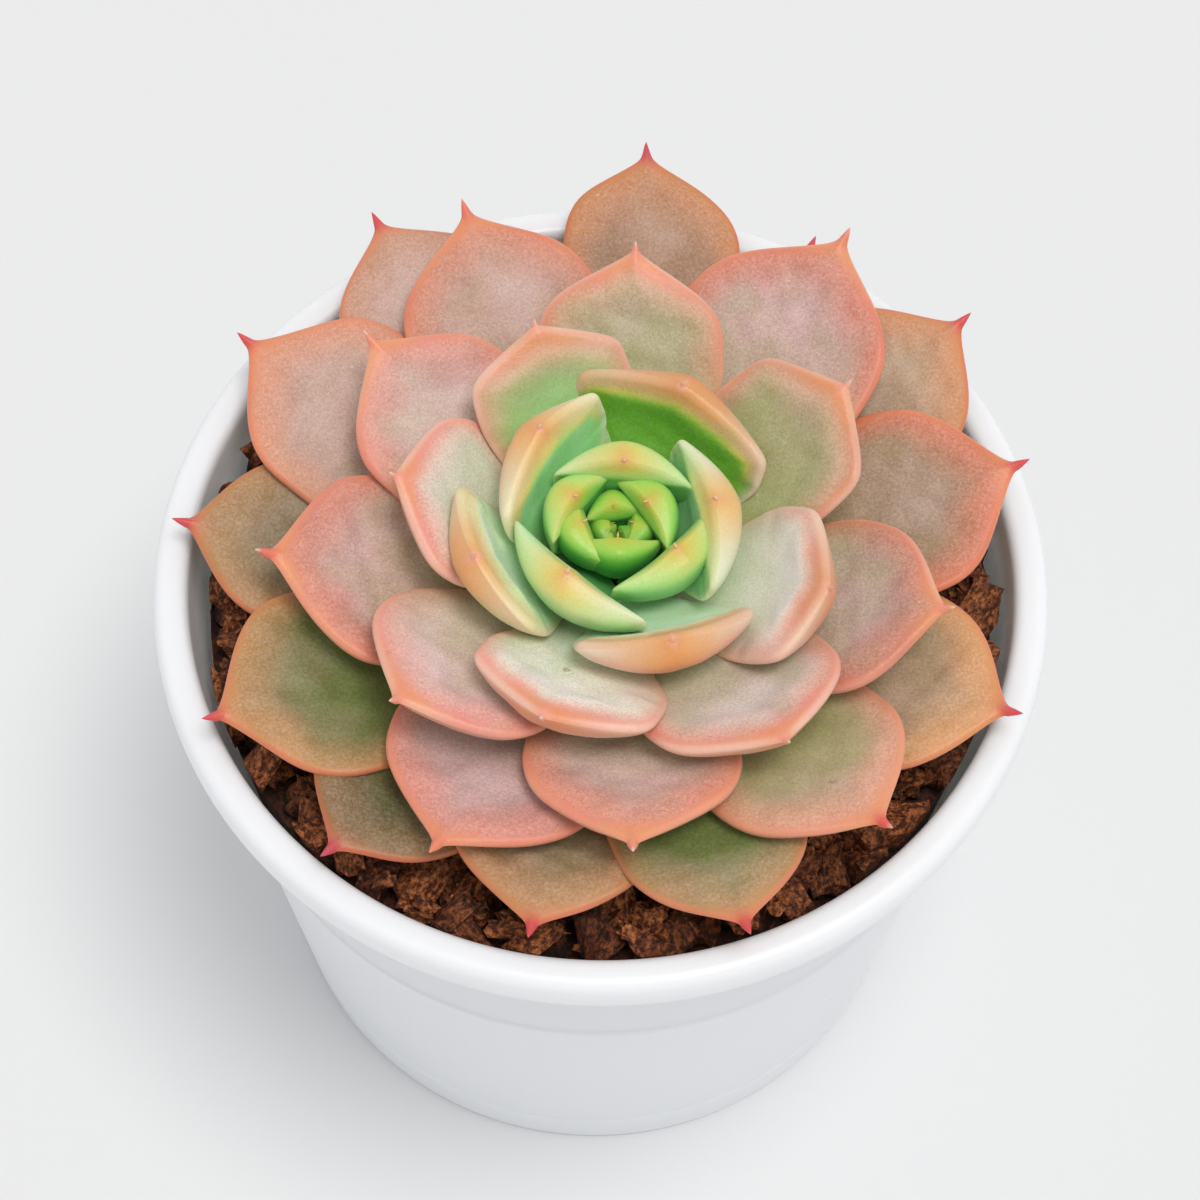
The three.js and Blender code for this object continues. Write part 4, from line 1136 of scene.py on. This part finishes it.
def add_fibre(husk, rng):
    """One loose fibre, a thin bent strand that tapers to both ends."""
    radius, spot = ring_spot(rng, FIBRES_FROM, FIBRES_TO)
    length, yaw, rise = rng.uniform(2, 6), rng.uniform(0, 2 * math.pi), rng.uniform(0.9, 2.3)
    girth, bow, tilt = rng.uniform(0.06, 0.14), rng.uniform(-0.4, 0.4), rng.normal(0, 0.18)
    share = np.linspace(-0.5, 0.5, FIBRE_STEPS)
    line = np.stack([share * length, bow * length * (share**2 - 0.1), tilt * length * share], 1)
    line = line @ turned(0, 0, yaw).T + np.array([*spot, mix_height(radius) + rise])
    taper = girth * (1 - 0.7 * np.abs(2 * share) ** 2)
    turn = 2 * math.pi * np.arange(FIBRE_SIDES) / FIBRE_SIDES
    side = np.outer(np.cos(turn), (-math.sin(yaw), math.cos(yaw), 0)) + np.outer(np.sin(turn), (0, 0, 1))
    strand = (line[:, None] + side * taper[:, None, None]).reshape(-1, 3)
    faces = tube_faces(FIBRE_STEPS, FIBRE_SIDES)
    faces += [tuple(reversed(range(FIBRE_SIDES))), tuple(range(len(strand) - FIBRE_SIDES, len(strand)))]
    keep_inside(strand)
    husk.take(strand, faces, rng.uniform(0.5, 1), strand * 0.5, np.zeros(len(strand)))


def build_mix():
    husk, rng = Husk(), np.random.default_rng(7)
    add_bed(husk, rng)
    for layer in CHIP_LAYERS:
        add_layer(husk, rng, layer)
    for _ in range(FIBRE_COUNT):
        add_fibre(husk, rng)
    return husk.piece()


own(build_mix(), "planting_mix")

# Stem
STEM_OUTLINE = [
    (0, 62), (6.7, 62), (STEM_FOOT_RADIUS, 64), (STEM_FOOT_RADIUS, 72), (6.2, 75), (4.9, 79), (3.3, 83),
    (1.2, 86), (0, 86.6),
]
STEM_STEPS, STEM_SIDES = 10, 96
SCARS_AROUND, SCAR_SLANT, SCAR_RINGS, SCAR_DEPTH = 8, 1.7, 2.1, 0.03
BARK, BARK_AROUND, BARK_DEPTH = (1.5, 5, 12), 6, 0.015


def build_stem():
    """The woody stem, with its old leaf scars and rough bark cut into its sides."""
    line = [STEM_OUTLINE[0]]
    for (r0, z0), (r1, z1) in zip(STEM_OUTLINE, STEM_OUTLINE[1:]):
        steps = range(1, STEM_STEPS + 1)
        line += [(r0 + (r1 - r0) * k / STEM_STEPS, z0 + (z1 - z0) * k / STEM_STEPS) for k in steps]
    points, faces = lathe(line, STEM_SIDES)
    turn, height = np.arctan2(points[:, 1], points[:, 0]), points[:, 2]
    scar = np.sin(SCARS_AROUND * turn + height * SCAR_SLANT) * np.sin(height * SCAR_RINGS)
    rough = waves(np.random.default_rng(3), *BARK)(BARK_AROUND * turn, height)
    scale = 1 - SCAR_DEPTH * varied(scar, 0.5, 0.5) - BARK_DEPTH * varied(rough, 0.5, 0.5)
    keep = fade(np.hypot(points[:, 0], points[:, 1]), 0, 1.5)
    points[:, :2] *= (1 - keep + keep * scale)[:, None]
    points[:, :2] += ROSETTE
    return make_piece("woody_stem", points, faces, stem_material())


own(build_stem(), "stem")

# Floor, light and camera
FLOOR_HALF, FLOOR_CELLS = 1800, 24
SKY_COLOUR, SKY_STRENGTH = (0.97, 0.985, 1.0, 1), 0.64
SUN_COLOUR, SUN_STRENGTH, SUN_SPREAD = (1.0, 0.985, 0.96), 1.33, math.radians(24)
SUN_PLACE = (0.2, -0.13, 1.0)
ELEVATION, ROLL, DISTANCE = math.radians(61.4), math.radians(1.65), 0.4
TARGET = Vector((-0.00011, 0, 0.0734))
SENSOR_WIDTH, FOCAL_PIXELS, FRAME_PIXELS = 36, 3374, 1200


def build_floor():
    line, width = np.linspace(-FLOOR_HALF, FLOOR_HALF, FLOOR_CELLS + 1), FLOOR_CELLS + 1
    points = np.array([(x, y, 0.0) for y in line for x in line])
    faces = [
        (j * width + i, j * width + i + 1, (j + 1) * width + i + 1, (j + 1) * width + i)
        for j in range(FLOOR_CELLS) for i in range(FLOOR_CELLS)
    ]
    return make_piece("floor", points, faces, floor_material())


def add_light(scene):
    """An even pale sky and one broad soft sun."""
    world = bpy.data.worlds.new("studio")
    scene.world = world
    world.use_nodes = True
    background = world.node_tree.nodes["Background"]
    background.inputs["Color"].default_value = SKY_COLOUR
    background.inputs["Strength"].default_value = SKY_STRENGTH
    sun = bpy.data.lights.new("key", "SUN")
    sun.energy, sun.angle, sun.color = SUN_STRENGTH, SUN_SPREAD, SUN_COLOUR
    key = bpy.data.objects.new("key", sun)
    scene.collection.objects.link(key)
    key.location = SUN_PLACE
    key.rotation_euler = Vector(key.location).to_track_quat("Z", "Y").to_euler()


def add_camera(scene):
    """The camera that was fitted to the photo."""
    back, right = Vector((0, -math.cos(ELEVATION), math.sin(ELEVATION))), Vector((1, 0, 0))
    up = back.cross(right)
    rolled_right = right * math.cos(ROLL) + up * math.sin(ROLL)
    rolled_up = up * math.cos(ROLL) - right * math.sin(ROLL)
    lens = bpy.data.cameras.new("camera")
    lens.sensor_width = SENSOR_WIDTH
    lens.lens = SENSOR_WIDTH * FOCAL_PIXELS / FRAME_PIXELS
    lens.clip_start = 0.01
    camera = bpy.data.objects.new("camera", lens)
    scene.collection.objects.link(camera)
    basis = Matrix((rolled_right, rolled_up, back)).transposed().to_4x4()
    camera.matrix_world = Matrix.Translation(TARGET + back * DISTANCE) @ basis
    scene.camera = camera


build_floor()
scene = bpy.context.scene
scene.view_settings.view_transform = "Standard"
scene.view_settings.look = "None"
add_light(scene)
add_camera(scene)
